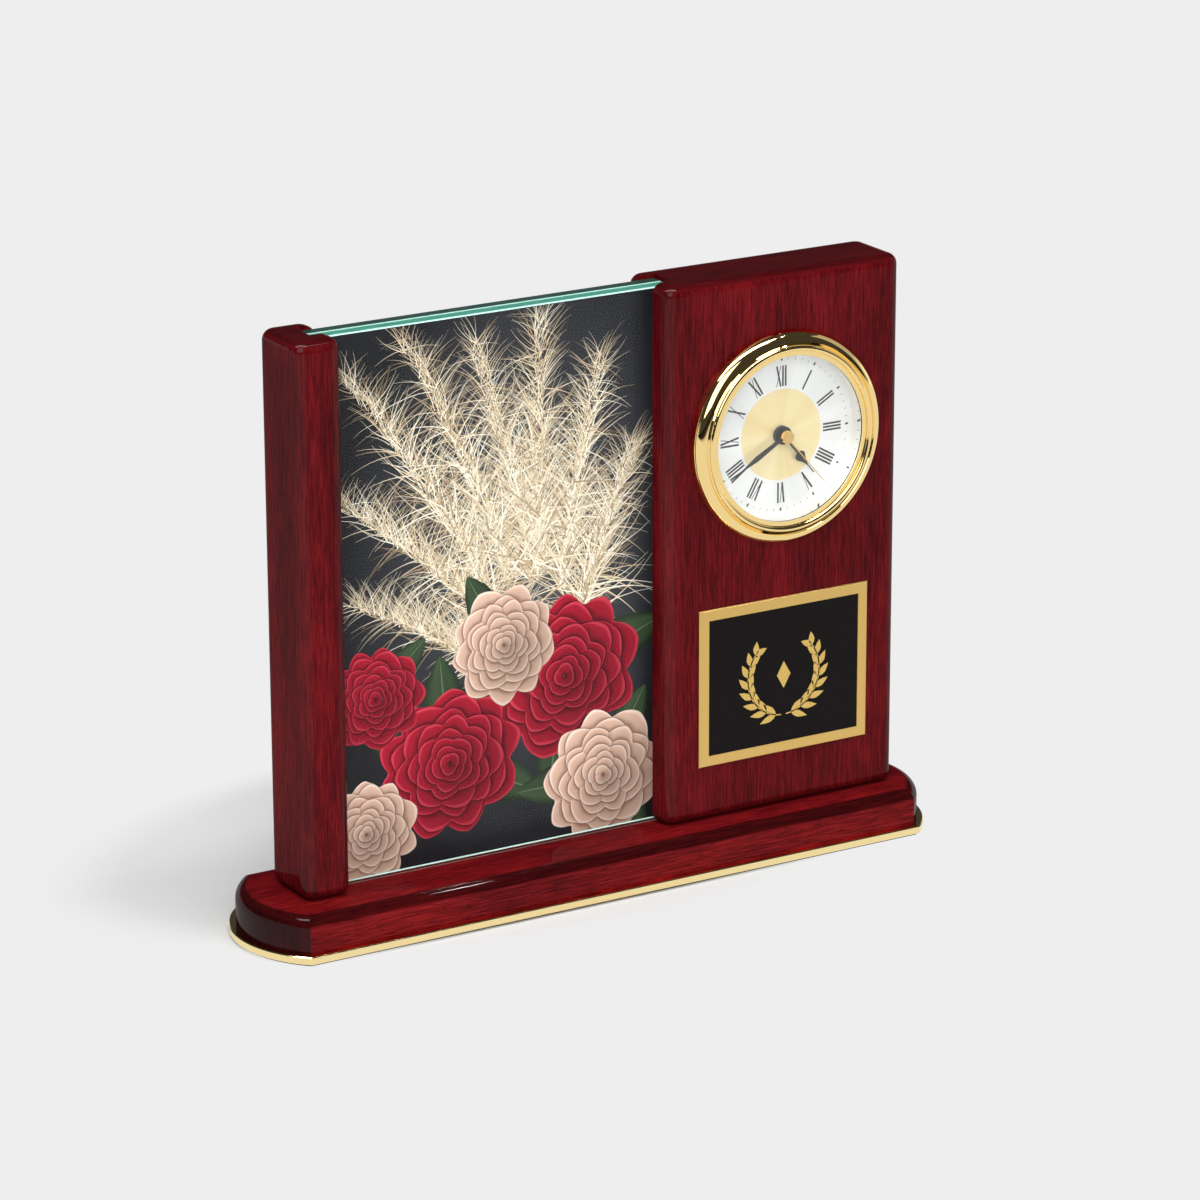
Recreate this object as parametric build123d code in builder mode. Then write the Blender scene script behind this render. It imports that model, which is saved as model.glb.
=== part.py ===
from build123d import *

import math
import os

os.makedirs("parts", exist_ok=True)

# Photo frame clock, in millimetres. +X runs along the base, -Y is the front and +Z is up.
# The origin is under the middle of the base, on the surface that it stands on.

# Base: a wooden plinth with bowed ends, on a metal plate with felt under it
base_corner_reach = 2.6
base_depth = 47.0
base_bow = 10.3
base_height = 12.0
base_round = 4.2
plate_ledge = 2.3
plate_height = 2.6
plate_edge = 0.3
felt_height = 0.8
felt_inset = 1.2

# Uprights: the slim post, the clock panel and the opening between them
post_width = 16.5
panel_width = 88.3
upright_depth = 25.0
upright_height = 179.0
uprights_off_middle = 1.9
upright_corner_round = 4.5
upright_edge_round = 3.5

# Glass and print, which stand in the grooves of the uprights
glass_width = 127.0
glass_height = 177.8
glass_thickness = 4.8
glass_arris = 0.4
glass_in_groove = 6.8
print_thickness = 0.25
print_inset = 0.6
pane_gap = 0.05
groove_play = 0.4
groove_setback = 1.0

# Wood screws that hold the uprights, put in from below
screw_shank_radius = 2.0
screw_head_radius = 3.9
screw_head_height = 2.0
screw_bite = 16.0
screw_point = 3.0
screw_clearance = 0.15
post_screw_from_edge = 4.6
post_screw_half_spacing = 5.5
panel_screw_half_spacing = 28.0

# Name plate on the panel
name_plate_width = 64.1
name_plate_height = 52.9
name_plate_thickness = 1.0
name_plate_border = 3.6
name_plate_recess = 0.15
name_plate_edge = 0.3
name_plate_above_base = 18.6

# Clock insert: the bezel, the crystal, the dial and the can behind them
clock_above_base = 125.0
bezel_overlap = 4.5
bezel_height = 5.1
bezel_band_height = 4.3
bezel_rim_height = 0.7
bezel_shoulder_inset = 0.9
bezel_shoulder_height = 3.0
bezel_lip = 0.4
bezel_groove_depth = 0.5
crystal_thickness = 1.0
crystal_play = 0.2
crystal_edge = 0.15
dial_ring_height = 5.0
dial_thickness = 0.5
window_lip = 1.3
cup_wall = 2.2
cup_gap = 0.7
cup_floor_thickness = 1.2
collar_fit = 0.2
collar_wall = 1.0
collar_depth = 6.0
hole_gap = 0.8
hole_chamfer = 0.8
band_gap = 1.0
band_length = 5.5
band_rib_count = 3
band_rib_width = 1.1
band_web = 0.9
band_fit = 0.05
band_clearance = 0.15

# Hands, which show the time of day in hours, minutes and seconds
shown_minutes = 4 * 60 + 40
shown_seconds = 23.2
hand_thickness = 0.4
hand_gap = 0.5
hour_hand_rise = 1.3
hour_hand_length = 18.0
hour_hand_leaf = 3.6
hour_hand_leaf_foot = 8.6
hour_hand_leaf_wide_at = 10.4
hour_hand_leaf_end = 14.4
hour_hand_boss_radius = 3.0
minute_hand_length = 23.4
minute_hand_width = 1.7
minute_hand_foot_width = 1.0
minute_hand_wide_at = 12.2
minute_hand_needle_at = 17.8
minute_hand_boss_radius = 2.5
second_hand_length = 22.5
second_hand_width = 0.4
second_hand_thickness = 0.25
second_hand_boss_radius = 0.9
second_cap_radius = 2.1
second_cap_height = 1.1
needle_width = 0.32
hand_fit = 0.03

# Quartz movement: plates, shafts and the layers of wheels between the plates
train_plate_thickness = 1.5
train_plate_play = 0.1
bushing_radius = 3.0
bushing_rise = 0.7
back_plate_thickness = 1.2
wheel_face = 0.7
pinion_overhang = 0.1
layer_gap = 0.4
end_play = 0.3
pivot_depth = 1.0
pivot_clearance = 0.05
arbor_radius = 0.4
seconds_arbor_radius = 0.5
minute_tube_wall = 0.6
hour_tube_wall = 0.65
stud_radius = 0.6
stem_radius = 0.8
tube_clearance = 0.1
clutch_radius = 2.6
clutch_gap = 0.05
pillar_radius = 1.6
pillar_inset = 4.4
pillar_bearings = (-81.0, 172.0, 58.0)
movement_screw_radius = 0.6
movement_screw_head_radius = 1.5
movement_screw_head_height = 0.8
movement_screw_bite = 3.0

# Gear trains: tooth counts, spacing of the shafts and the tooth form in modules
rotor_teeth = 8
intermediate_teeth = 48
intermediate_leaves = 8
seconds_teeth = 40
seconds_leaves = 8
third_teeth = 60
third_leaves = 8
centre_teeth = 64
minute_leaves = 10
motion_teeth = 30
motion_leaves = 8
hour_teeth = 32
setting_leaves = 10
going_distance = 9.5
seconds_distance = 9.6
rotor_distance = 7.0
motion_distance = 7.0
third_bearing = 60.0
intermediate_bearing = -60.0
rotor_bearing = -20.0
motion_bearing = 180.0
tooth_share = 0.40
tooth_addendum = 0.8
tooth_dedendum = 1.15
tooth_flank_angle = 20.0

# Stepping motor
magnet_radius = 2.2
magnet_height = 1.4
rotor_air_gap = 0.5
stator_ring_width = 1.7
stator_thickness = 0.7
stator_arm_width = 1.7
core_width = 2.4
core_thickness = 1.0
coil_length = 12.0
coil_radius = 2.0
bobbin_radius = 2.4
bobbin_flange = 0.8

# Battery, its contacts and its hatch; circuit board
cell_radius = 5.8
cell_height = 5.4
cell_cap_radius = 4.9
cell_cap_height = 0.5
cell_play = 0.05
cell_gap = 2.5
cell_bearing = -120.0
hatch_radius = 7.0
hatch_fit = 0.15
hatch_lug_reach = 1.0
hatch_lug_thickness = 0.55
hatch_lug_half_angle = 16.0
hatch_notch_half_angle = 20.0
hatch_turn = 60.0
hatch_slot_length = 8.0
hatch_slot_width = 1.2
hatch_slot_depth = 0.5
contact_thickness = 0.25
contact_width = 2.0
contact_stem_gap = 1.6
contact_tab_height = 1.8
board_gap = 9.0
board_bearing = 130.0
board_width = 14.5
board_height = 8.0
board_thickness = 0.8
board_standoff = 0.7
board_boss_radius = 1.0
board_pad_offset = 2.0
quartz_radius = 1.0
quartz_length = 6.0

# Setting knob
knob_radius = 4.5
knob_thickness = 2.5
knob_flutes = 14
knob_flute_radius = 0.5
knob_gap = 0.3

# Heights of the base and places of the uprights
plate_top = felt_height + plate_height
base_top = plate_top + base_height
opening_width = glass_width - 2 * glass_in_groove
total_width = post_width + opening_width + panel_width
base_half_length = total_width / 2 + base_corner_reach
post_left = uprights_off_middle - total_width / 2
opening_left = post_left + post_width
opening_right = opening_left + opening_width
opening_middle = (opening_left + opening_right) / 2
panel_middle = opening_right + panel_width / 2
upright_front = -upright_depth / 2
groove_depth = glass_in_groove + groove_play
stack_thickness = 2 * glass_thickness + print_thickness + 2 * pane_gap
groove_width = stack_thickness + 2 * groove_play
stack_front = groove_setback - stack_thickness / 2
post_screw_x = post_left + post_screw_from_edge
screw_places = [
    (post_screw_x, -post_screw_half_spacing),
    (post_screw_x, post_screw_half_spacing),
    (panel_middle - panel_screw_half_spacing, 0),
    (panel_middle + panel_screw_half_spacing, 0),
]

# Gear modules and shaft places, seen from the front with the clock's centre at zero
seconds_module = 2 * seconds_distance / (seconds_teeth + intermediate_leaves)
rotor_module = 2 * rotor_distance / (rotor_teeth + intermediate_teeth)
third_module = 2 * going_distance / (seconds_leaves + third_teeth)
centre_module = 2 * going_distance / (third_leaves + centre_teeth)
motion_module = 2 * motion_distance / (minute_leaves + motion_teeth)


def polar(start, distance, bearing):
    """A place at a distance from another, its bearing counted from +X towards +Z."""
    turn = math.radians(bearing)
    return (start[0] + distance * math.cos(turn), start[1] + distance * math.sin(turn))


def tip_radius(teeth, module):
    return module * (teeth / 2 + tooth_addendum)


def root_radius(teeth, module):
    return module * (teeth / 2 - tooth_dedendum)


centre_place = (0.0, 0.0)
third_place = polar(centre_place, going_distance, third_bearing)
intermediate_place = polar(centre_place, seconds_distance, intermediate_bearing)
rotor_place = polar(intermediate_place, rotor_distance, rotor_bearing)
motion_place = polar(centre_place, motion_distance, motion_bearing)
setting_distance = motion_module * (motion_teeth + setting_leaves) / 2
stem_place = polar(motion_place, setting_distance, motion_bearing)
cell_distance = tip_radius(centre_teeth, centre_module) + cell_gap + cell_radius
cell_place = polar(centre_place, cell_distance, cell_bearing)
board_distance = tip_radius(centre_teeth, centre_module) + board_gap
board_middle = polar(centre_place, board_distance, board_bearing)

# Radii of the insert, from the movement outwards to the bezel
back_plate_radius = cell_distance + hatch_radius + hatch_lug_reach + cup_gap
cup_inner_radius = back_plate_radius + cup_gap
cup_radius = cup_inner_radius + cup_wall
train_plate_radius = cup_radius - cup_wall / 2
collar_inner_radius = cup_radius + collar_fit
collar_radius = collar_inner_radius + collar_wall
hole_radius = collar_radius + hole_gap
bezel_radius = hole_radius + bezel_overlap
window_radius = cup_radius - window_lip
pillar_circle = back_plate_radius - pillar_inset
pillar_places = [
    polar(centre_place, pillar_circle, bearing) for bearing in pillar_bearings
]

# Levels of the insert: distance in front of the panel's face, so what is inside is negative
crystal_front = bezel_band_height - bezel_lip - bezel_groove_depth / 2
crystal_back = crystal_front - crystal_thickness
dial_front = crystal_back - dial_ring_height
dial_back = dial_front - dial_thickness
train_plate_back = dial_back - train_plate_thickness
bushing_front = dial_front + bushing_rise
hour_hand_back = dial_front + hour_hand_rise
minute_hand_back = hour_hand_back + hand_thickness + hand_gap
second_hand_back = minute_hand_back + hand_thickness + hand_gap
layer_pitch = wheel_face + layer_gap
hour_level, motion_level, centre_level, third_level, seconds_level, intermediate_level = (
    train_plate_back - end_play - wheel_face - layer * layer_pitch for layer in range(6)
)
back_plate_front = intermediate_level - layer_gap
back_plate_back = back_plate_front - back_plate_thickness
cup_floor = back_plate_back - movement_screw_head_height - layer_gap
cup_back = cup_floor - cup_floor_thickness
hatch_plug_front = cup_floor + hatch_lug_thickness + hatch_fit
cell_back = hatch_plug_front + cell_play
cell_front = cell_back + cell_height
core_back = seconds_level + stator_thickness
board_front = train_plate_back - board_standoff
board_back = board_front - board_thickness
clock_height = base_top + clock_above_base
clock_axis = Axis((panel_middle, upright_front, clock_height), (0, -1, 0))


def clock_plane(level):
    """A plane across the clock's axis, with X to the right and Z up as its axes."""
    centre = (panel_middle, upright_front - level, clock_height)
    return Plane(origin=centre, x_dir=(1, 0, 0), z_dir=(0, -1, 0))


# A plane along the clock's axis: radius to the right, level upwards
turning_plane = Plane(
    origin=(panel_middle, upright_front, clock_height), x_dir=(1, 0, 0), z_dir=(0, 0, -1)
)


def finish(builder, name):
    builder.part.label = name
    export_step(builder.part, f"parts/{name}.step")


def bowed_outline(margin):
    """The plinth's outline, grown outwards all round by a margin."""
    half_depth = base_depth / 2
    bow_radius = (half_depth**2 + base_bow**2) / (2 * base_bow)
    bow_middle = base_half_length + base_bow - bow_radius
    edge_y = half_depth + margin
    corner_x = bow_middle + math.sqrt((bow_radius + margin) ** 2 - edge_y**2)
    end_x = base_half_length + base_bow + margin
    with BuildSketch() as outline:
        with BuildLine():
            Line((-corner_x, -edge_y), (corner_x, -edge_y))
            ThreePointArc((corner_x, -edge_y), (end_x, 0), (corner_x, edge_y))
            Line((corner_x, edge_y), (-corner_x, edge_y))
            ThreePointArc((-corner_x, edge_y), (-end_x, 0), (-corner_x, -edge_y))
        make_face()
    return outline.sketch


# Felt pad: glued under the plate, where it hides the screw heads
with BuildPart() as felt_pad:
    with BuildSketch():
        add(bowed_outline(plate_ledge - felt_inset))
    extrude(amount=felt_height)
finish(felt_pad, "felt_pad")

# Base plate: polished, with its edges broken and countersunk for the screws
with BuildPart() as base_plate:
    with BuildSketch(Plane.XY.offset(felt_height)):
        add(bowed_outline(plate_ledge))
    extrude(amount=plate_height)
    chamfer(base_plate.faces().filter_by(Axis.Z).edges(), plate_edge)
    for x, y in screw_places:
        with Locations(Location((x, y, felt_height), (180, 0, 0))):
            CounterSinkHole(
                radius=screw_shank_radius + screw_clearance,
                counter_sink_radius=screw_head_radius + screw_clearance,
                depth=plate_height,
            )
finish(base_plate, "base_plate")

# Base: the wooden plinth, rounded along its top edge
with BuildPart() as base:
    with BuildSketch(Plane.XY.offset(plate_top)):
        add(bowed_outline(0))
    extrude(amount=base_height)
    fillet(base.faces().sort_by(Axis.Z)[-1].edges(), base_round)
    with BuildSketch(Plane.XY.offset(plate_top)):
        with Locations(*screw_places):
            Circle(screw_shank_radius + screw_clearance)
    extrude(amount=base_height, mode=Mode.SUBTRACT)
finish(base, "base")


def upright_block(left, width):
    """A lacquered upright with all its edges rounded, standing on the base."""
    with BuildPart() as block:
        with BuildSketch(Plane.XY.offset(base_top)):
            with Locations((left + width / 2, 0)):
                RectangleRounded(width, upright_depth, upright_corner_round)
        extrude(amount=upright_height)
        ends = block.faces().filter_by(GeomType.PLANE).filter_by(Axis.Z)
        fillet(ends.edges(), upright_edge_round)
    return block.part


def groove_and_pilots(groove_x, pilots):
    """What is cut from an upright: the glass groove and the pilot holes for its screws."""
    with BuildPart() as cut:
        with BuildSketch(Plane.XY.offset(base_top)):
            with Locations((groove_x, groove_setback)):
                Rectangle(groove_depth, groove_width)
        extrude(amount=upright_height)
        with BuildSketch(Plane.XY.offset(base_top)):
            with Locations(*pilots):
                Circle(screw_shank_radius + pivot_clearance)
        extrude(amount=screw_bite + screw_clearance)
    return cut.part


# Left post: the slim upright
with BuildPart() as left_post:
    add(upright_block(post_left, post_width))
    add(
        groove_and_pilots(opening_left - groove_depth / 2, screw_places[:2]),
        mode=Mode.SUBTRACT,
    )
finish(left_post, "left_post")

# Clock panel: the wide upright, bored right through for the clock insert
with BuildPart() as clock_panel:
    add(upright_block(opening_right, panel_width))
    add(
        groove_and_pilots(opening_right + groove_depth / 2, screw_places[2:]),
        mode=Mode.SUBTRACT,
    )
    with BuildSketch(clock_plane(-upright_depth)):
        Circle(hole_radius)
    extrude(amount=upright_depth, mode=Mode.SUBTRACT)
    hole_rim = clock_panel.faces().sort_by(Axis.Y)[-1].edges().filter_by(GeomType.CIRCLE)
    chamfer(hole_rim.sort_by(SortBy.LENGTH)[-1], hole_chamfer)
finish(clock_panel, "clock_panel")

# Base screws: four countersunk wood screws in one group
with BuildPart() as base_screws:
    screw_length = plate_height + base_height + screw_bite
    with BuildSketch(Plane.XZ):
        with BuildLine():
            Polyline(
                (0, felt_height),
                (screw_head_radius, felt_height),
                (screw_shank_radius, felt_height + screw_head_height),
                (screw_shank_radius, felt_height + screw_length - screw_point),
                (0, felt_height + screw_length),
                close=True,
            )
        make_face()
    one_screw = revolve(axis=Axis.Z, mode=Mode.PRIVATE)
    with Locations(*screw_places):
        add(one_screw)
finish(base_screws, "base_screws")


def pane(front):
    """A pane of glass whose sharp edges are seamed off."""
    with BuildPart() as glass:
        with BuildSketch(Plane.XY.offset(base_top)):
            with Locations((opening_middle, front + glass_thickness / 2)):
                Rectangle(glass_width, glass_thickness)
        extrude(amount=glass_height)
        chamfer(glass.edges(), glass_arris)
    return glass


# The two panes, with the print between them
print_front = stack_front + glass_thickness + pane_gap
finish(pane(stack_front), "front_glass")
finish(pane(print_front + print_thickness + pane_gap), "back_glass")
with BuildPart() as photo_print:
    with BuildSketch(Plane.XY.offset(base_top)):
        with Locations((opening_middle, print_front + print_thickness / 2)):
            Rectangle(glass_width - 2 * print_inset, print_thickness)
    extrude(amount=glass_height - 2 * print_inset)
finish(photo_print, "photo_print")

# Name plate: stuck to the panel, with a field sunk inside its border
with BuildPart() as name_plate:
    plate_middle = (panel_middle, base_top + name_plate_above_base + name_plate_height / 2)
    with BuildSketch(Plane.XZ.offset(-upright_front)):
        with Locations(plate_middle):
            Rectangle(name_plate_width, name_plate_height)
    extrude(amount=name_plate_thickness)
    chamfer(name_plate.faces().sort_by(Axis.Y)[0].edges(), name_plate_edge)
    with BuildSketch(Plane.XZ.offset(-upright_front + name_plate_thickness)):
        with Locations(plate_middle):
            Rectangle(
                name_plate_width - 2 * name_plate_border,
                name_plate_height - 2 * name_plate_border,
            )
    extrude(amount=-name_plate_recess, mode=Mode.SUBTRACT)
finish(name_plate, "name_plate")

# Bezel: a turned ring with a broad round band, a fine groove and a bead round the window,
# and behind it a collar that the crystal, the dial and the can are pushed into
with BuildPart() as bezel:
    groove_radius = (bezel_radius + window_radius) / 2
    bead_inner_radius = (groove_radius + window_radius) / 2 - bezel_groove_depth
    groove_half = bezel_groove_depth
    bead_foot = bezel_band_height - bezel_groove_depth / 2
    with BuildSketch(turning_plane):
        with BuildLine():
            Polyline(
                (window_radius, crystal_front + bezel_lip),
                (window_radius, crystal_front),
                (collar_inner_radius, crystal_front),
                (collar_inner_radius, -collar_depth),
                (collar_radius, -collar_depth),
                (collar_radius, 0),
                (bezel_radius, 0),
                (bezel_radius, bezel_rim_height),
            )
            ThreePointArc(
                (bezel_radius, bezel_rim_height),
                (bezel_radius - bezel_shoulder_inset, bezel_shoulder_height),
                (groove_radius + groove_half, bezel_band_height),
            )
            Polyline(
                (groove_radius + groove_half, bezel_band_height),
                (groove_radius, bezel_band_height - bezel_groove_depth),
                (groove_radius - groove_half, bezel_band_height),
            )
            ThreePointArc(
                (groove_radius - groove_half, bezel_band_height),
                ((groove_radius - groove_half + bead_inner_radius) / 2, bezel_height),
                (bead_inner_radius, bead_foot),
            )
            Line((bead_inner_radius, bead_foot), (window_radius, crystal_front + bezel_lip))
        make_face()
    revolve(axis=clock_axis)
finish(bezel, "bezel")


def turned_ring(inner, outer, back, front):
    """A plain ring about the clock's axis, between two levels."""
    with BuildPart() as ring:
        with BuildSketch(clock_plane(back)):
            Circle(outer)
            if inner > 0:
                Circle(inner, mode=Mode.SUBTRACT)
        extrude(amount=front - back)
    return ring


# Crystal: a flat clear disc held behind the bezel's lip
crystal_radius = collar_inner_radius - crystal_play
crystal = turned_ring(0, crystal_radius, crystal_back, crystal_front)
with BuildPart() as crystal_edged:
    add(crystal.part)
    chamfer(crystal_edged.edges(), crystal_edge)
finish(crystal_edged, "crystal")

# Dial ring: keeps the crystal off the dial. Dial: a thin metal disc
finish(turned_ring(window_radius, crystal_radius, dial_front, crystal_back), "dial_ring")
finish(
    turned_ring(bushing_radius + hand_fit, crystal_radius, dial_back, dial_front), "dial"
)

def bayonet_bar(reach, half_angle, turn):
    """A round-ended bar across the hatch, for its lugs or the notches that they pass."""
    bar_radius = hatch_radius + reach
    bar_width = 2 * hatch_radius * math.sin(math.radians(half_angle))
    with BuildSketch() as bar:
        Circle(bar_radius)
        Rectangle(
            3 * bar_radius,
            bar_width,
            rotation=turn,
            mode=Mode.INTERSECT,
        )
    return bar.sketch


# Insert cup: the can behind the dial, with a step for the train plate, a hole for the
# setting stem and a bayonet opening for the battery
with BuildPart() as insert_cup:
    with BuildSketch(clock_plane(cup_back)):
        Circle(cup_radius)
    extrude(amount=dial_back - cup_back)
    with BuildSketch(clock_plane(cup_floor)):
        Circle(cup_inner_radius)
    extrude(amount=dial_back - cup_floor, mode=Mode.SUBTRACT)
    with BuildSketch(clock_plane(train_plate_back)):
        Circle(train_plate_radius + train_plate_play)
    extrude(amount=train_plate_thickness, mode=Mode.SUBTRACT)
    with BuildSketch(clock_plane(cup_back)):
        with Locations(stem_place):
            Circle(stem_radius + tube_clearance)
        with Locations(cell_place):
            Circle(hatch_radius + hatch_fit)
        with Locations(cell_place):
            add(bayonet_bar(hatch_lug_reach + hatch_fit, hatch_notch_half_angle, -hatch_turn))
    extrude(amount=cup_floor_thickness, mode=Mode.SUBTRACT)
finish(insert_cup, "insert_cup")

# Grip band: a ribbed rubber band round the can, which holds the insert in its hole
with BuildPart() as grip_band:
    band_front = -collar_depth - band_gap
    band_inner = cup_radius + band_fit
    rib_pitch = (band_length - band_rib_width) / (band_rib_count - 1)
    with BuildSketch(clock_plane(band_front - band_length)):
        Circle(band_inner + band_web)
        Circle(band_inner, mode=Mode.SUBTRACT)
    extrude(amount=band_length)
    for rib in range(band_rib_count):
        with BuildSketch(clock_plane(band_front - band_length + rib * rib_pitch)):
            Circle(hole_radius - band_clearance)
            Circle(band_inner, mode=Mode.SUBTRACT)
        extrude(amount=band_rib_width)
finish(grip_band, "grip_band")


def tooth_points(teeth, module, phase):
    """Corner points of a toothed wheel: straight flanks between root and tip."""
    pitch_radius = teeth * module / 2
    root = root_radius(teeth, module)
    tip = tip_radius(teeth, module)
    slope = math.tan(math.radians(tooth_flank_angle))
    half_tooth = pitch_radius * tooth_share * math.pi / teeth
    half_root = (half_tooth + (pitch_radius - root) * slope) / root
    half_tip = (half_tooth - (tip - pitch_radius) * slope) / tip
    points = []
    for tooth in range(teeth):
        middle = phase + 2 * math.pi * tooth / teeth
        for radius, turn in (
            (root, middle - half_root),
            (tip, middle - half_tip),
            (tip, middle + half_tip),
            (root, middle + half_root),
        ):
            points.append((radius * math.cos(turn), radius * math.sin(turn)))
    return points


def meshed_phase(teeth, phase, place, other_teeth, other_place):
    """The phase at which another wheel's gaps face this wheel's teeth."""
    towards = math.atan2(other_place[1] - place[1], other_place[0] - place[0])
    passed = (towards - phase) / (2 * math.pi / teeth)
    return towards + math.pi - (2 * math.pi / other_teeth) * (0.5 - passed)


def toothed_arbor(place, radius, back, front, wheels):
    """A shaft with its wheels: (teeth, module, phase, back level, face width) each."""
    with BuildPart() as arbor:
        with BuildSketch(clock_plane(back)):
            with Locations(place):
                Circle(radius)
        extrude(amount=front - back)
        for teeth, module, phase, level, face in wheels:
            with BuildSketch(clock_plane(level)):
                with Locations(place):
                    Polygon(*tooth_points(teeth, module, phase), align=None)
            extrude(amount=face)
    return arbor


def bored(builder, place, radius, back, front):
    """The same piece with a round bore between two levels."""
    with BuildPart() as piece:
        add(builder.part)
        with BuildSketch(clock_plane(back)):
            with Locations(place):
                Circle(radius)
        extrude(amount=front - back, mode=Mode.SUBTRACT)
    return piece


pinion_face = wheel_face + 2 * pinion_overhang
pivot_back = back_plate_front - pivot_depth
pivot_front = train_plate_back + pivot_depth
third_phase = meshed_phase(seconds_leaves, 0, centre_place, third_teeth, third_place)
centre_phase = meshed_phase(third_leaves, 0, third_place, centre_teeth, centre_place)
intermediate_phase = meshed_phase(
    seconds_teeth, 0, centre_place, intermediate_leaves, intermediate_place
)
rotor_phase = meshed_phase(
    intermediate_teeth, 0, intermediate_place, rotor_teeth, rotor_place
)
motion_phase = meshed_phase(minute_leaves, 0, centre_place, motion_teeth, motion_place)
hour_phase = meshed_phase(motion_leaves, 0, motion_place, hour_teeth, centre_place)
setting_phase = meshed_phase(
    motion_teeth, motion_phase, motion_place, setting_leaves, stem_place
)

# Rotor: a round magnet and a pinion on one shaft
rotor = toothed_arbor(
    rotor_place,
    arbor_radius,
    pivot_back,
    pivot_front,
    [(rotor_teeth, rotor_module, rotor_phase, intermediate_level - pinion_overhang, pinion_face)],
)
with BuildPart() as rotor_with_magnet:
    add(rotor.part)
    with BuildSketch(clock_plane(intermediate_level + wheel_face + pinion_overhang)):
        with Locations(rotor_place):
            Circle(magnet_radius)
    extrude(amount=magnet_height)
finish(rotor_with_magnet, "rotor")

# Going train: each wheel and its pinion on one shaft
intermediate_wheel = toothed_arbor(
    intermediate_place,
    arbor_radius,
    pivot_back,
    pivot_front,
    [
        (intermediate_teeth, rotor_module, 0, intermediate_level, wheel_face),
        (
            intermediate_leaves,
            seconds_module,
            intermediate_phase,
            seconds_level - pinion_overhang,
            pinion_face,
        ),
    ],
)
finish(intermediate_wheel, "intermediate_wheel")
seconds_wheel = toothed_arbor(
    centre_place,
    seconds_arbor_radius,
    pivot_back,
    second_hand_back + second_hand_thickness,
    [
        (seconds_teeth, seconds_module, 0, seconds_level, wheel_face),
        (seconds_leaves, third_module, 0, third_level - pinion_overhang, pinion_face),
    ],
)
finish(seconds_wheel, "seconds_wheel")
third_wheel = toothed_arbor(
    third_place,
    arbor_radius,
    pivot_back,
    pivot_front,
    [
        (third_teeth, third_module, third_phase, third_level, wheel_face),
        (third_leaves, centre_module, 0, centre_level - pinion_overhang, pinion_face),
    ],
)
finish(third_wheel, "third_wheel")

# Centre wheel: turns once an hour on the seconds shaft, and carries the slip clutch
seconds_bore = seconds_arbor_radius + pivot_clearance
clutch_level = motion_level - pinion_overhang - clutch_gap
centre_wheel = toothed_arbor(
    centre_place,
    clutch_radius,
    centre_level,
    clutch_level,
    [(centre_teeth, centre_module, centre_phase, centre_level, wheel_face)],
)
finish(
    bored(centre_wheel, centre_place, seconds_bore, centre_level, clutch_level), "centre_wheel"
)

# Motion work: minute pinion on its tube, the wheel beside it, and the hour wheel
minute_tube_radius = seconds_bore + minute_tube_wall
hour_bore = minute_tube_radius + tube_clearance
hour_tube_radius = hour_bore + hour_tube_wall
minute_pinion = toothed_arbor(
    centre_place,
    minute_tube_radius,
    motion_level - pinion_overhang,
    minute_hand_back + hand_thickness,
    [(minute_leaves, motion_module, 0, motion_level - pinion_overhang, pinion_face)],
)
finish(
    bored(
        minute_pinion,
        centre_place,
        seconds_bore,
        motion_level - pinion_overhang,
        minute_hand_back + hand_thickness,
    ),
    "minute_pinion",
)
motion_wheel = toothed_arbor(
    motion_place,
    root_radius(motion_leaves, motion_module),
    motion_level,
    hour_level + wheel_face + pinion_overhang,
    [
        (motion_teeth, motion_module, motion_phase, motion_level, wheel_face),
        (motion_leaves, motion_module, 0, hour_level - pinion_overhang, pinion_face),
    ],
)
finish(
    bored(
        motion_wheel,
        motion_place,
        stud_radius + pivot_clearance,
        motion_level,
        hour_level + wheel_face + pinion_overhang,
    ),
    "motion_wheel",
)
hour_wheel = toothed_arbor(
    centre_place,
    hour_tube_radius,
    hour_level,
    hour_hand_back + hand_thickness,
    [(hour_teeth, motion_module, hour_phase, hour_level, wheel_face)],
)
finish(
    bored(hour_wheel, centre_place, hour_bore, hour_level, hour_hand_back + hand_thickness),
    "hour_wheel",
)

# Setting stem, which turns the motion work, and its fluted knob behind the can
knob_front = cup_back - knob_gap
setting_stem = toothed_arbor(
    stem_place,
    stem_radius,
    knob_front,
    pivot_front,
    [
        (
            setting_leaves,
            motion_module,
            setting_phase,
            motion_level - pinion_overhang,
            pinion_face,
        )
    ],
)
finish(setting_stem, "setting_stem")
with BuildPart() as setting_knob:
    with BuildSketch(clock_plane(knob_front - knob_thickness)):
        with Locations(stem_place):
            Circle(knob_radius)
            with PolarLocations(knob_radius, knob_flutes):
                Circle(knob_flute_radius, mode=Mode.SUBTRACT)
    extrude(amount=knob_thickness)
finish(setting_knob, "setting_knob")

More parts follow.
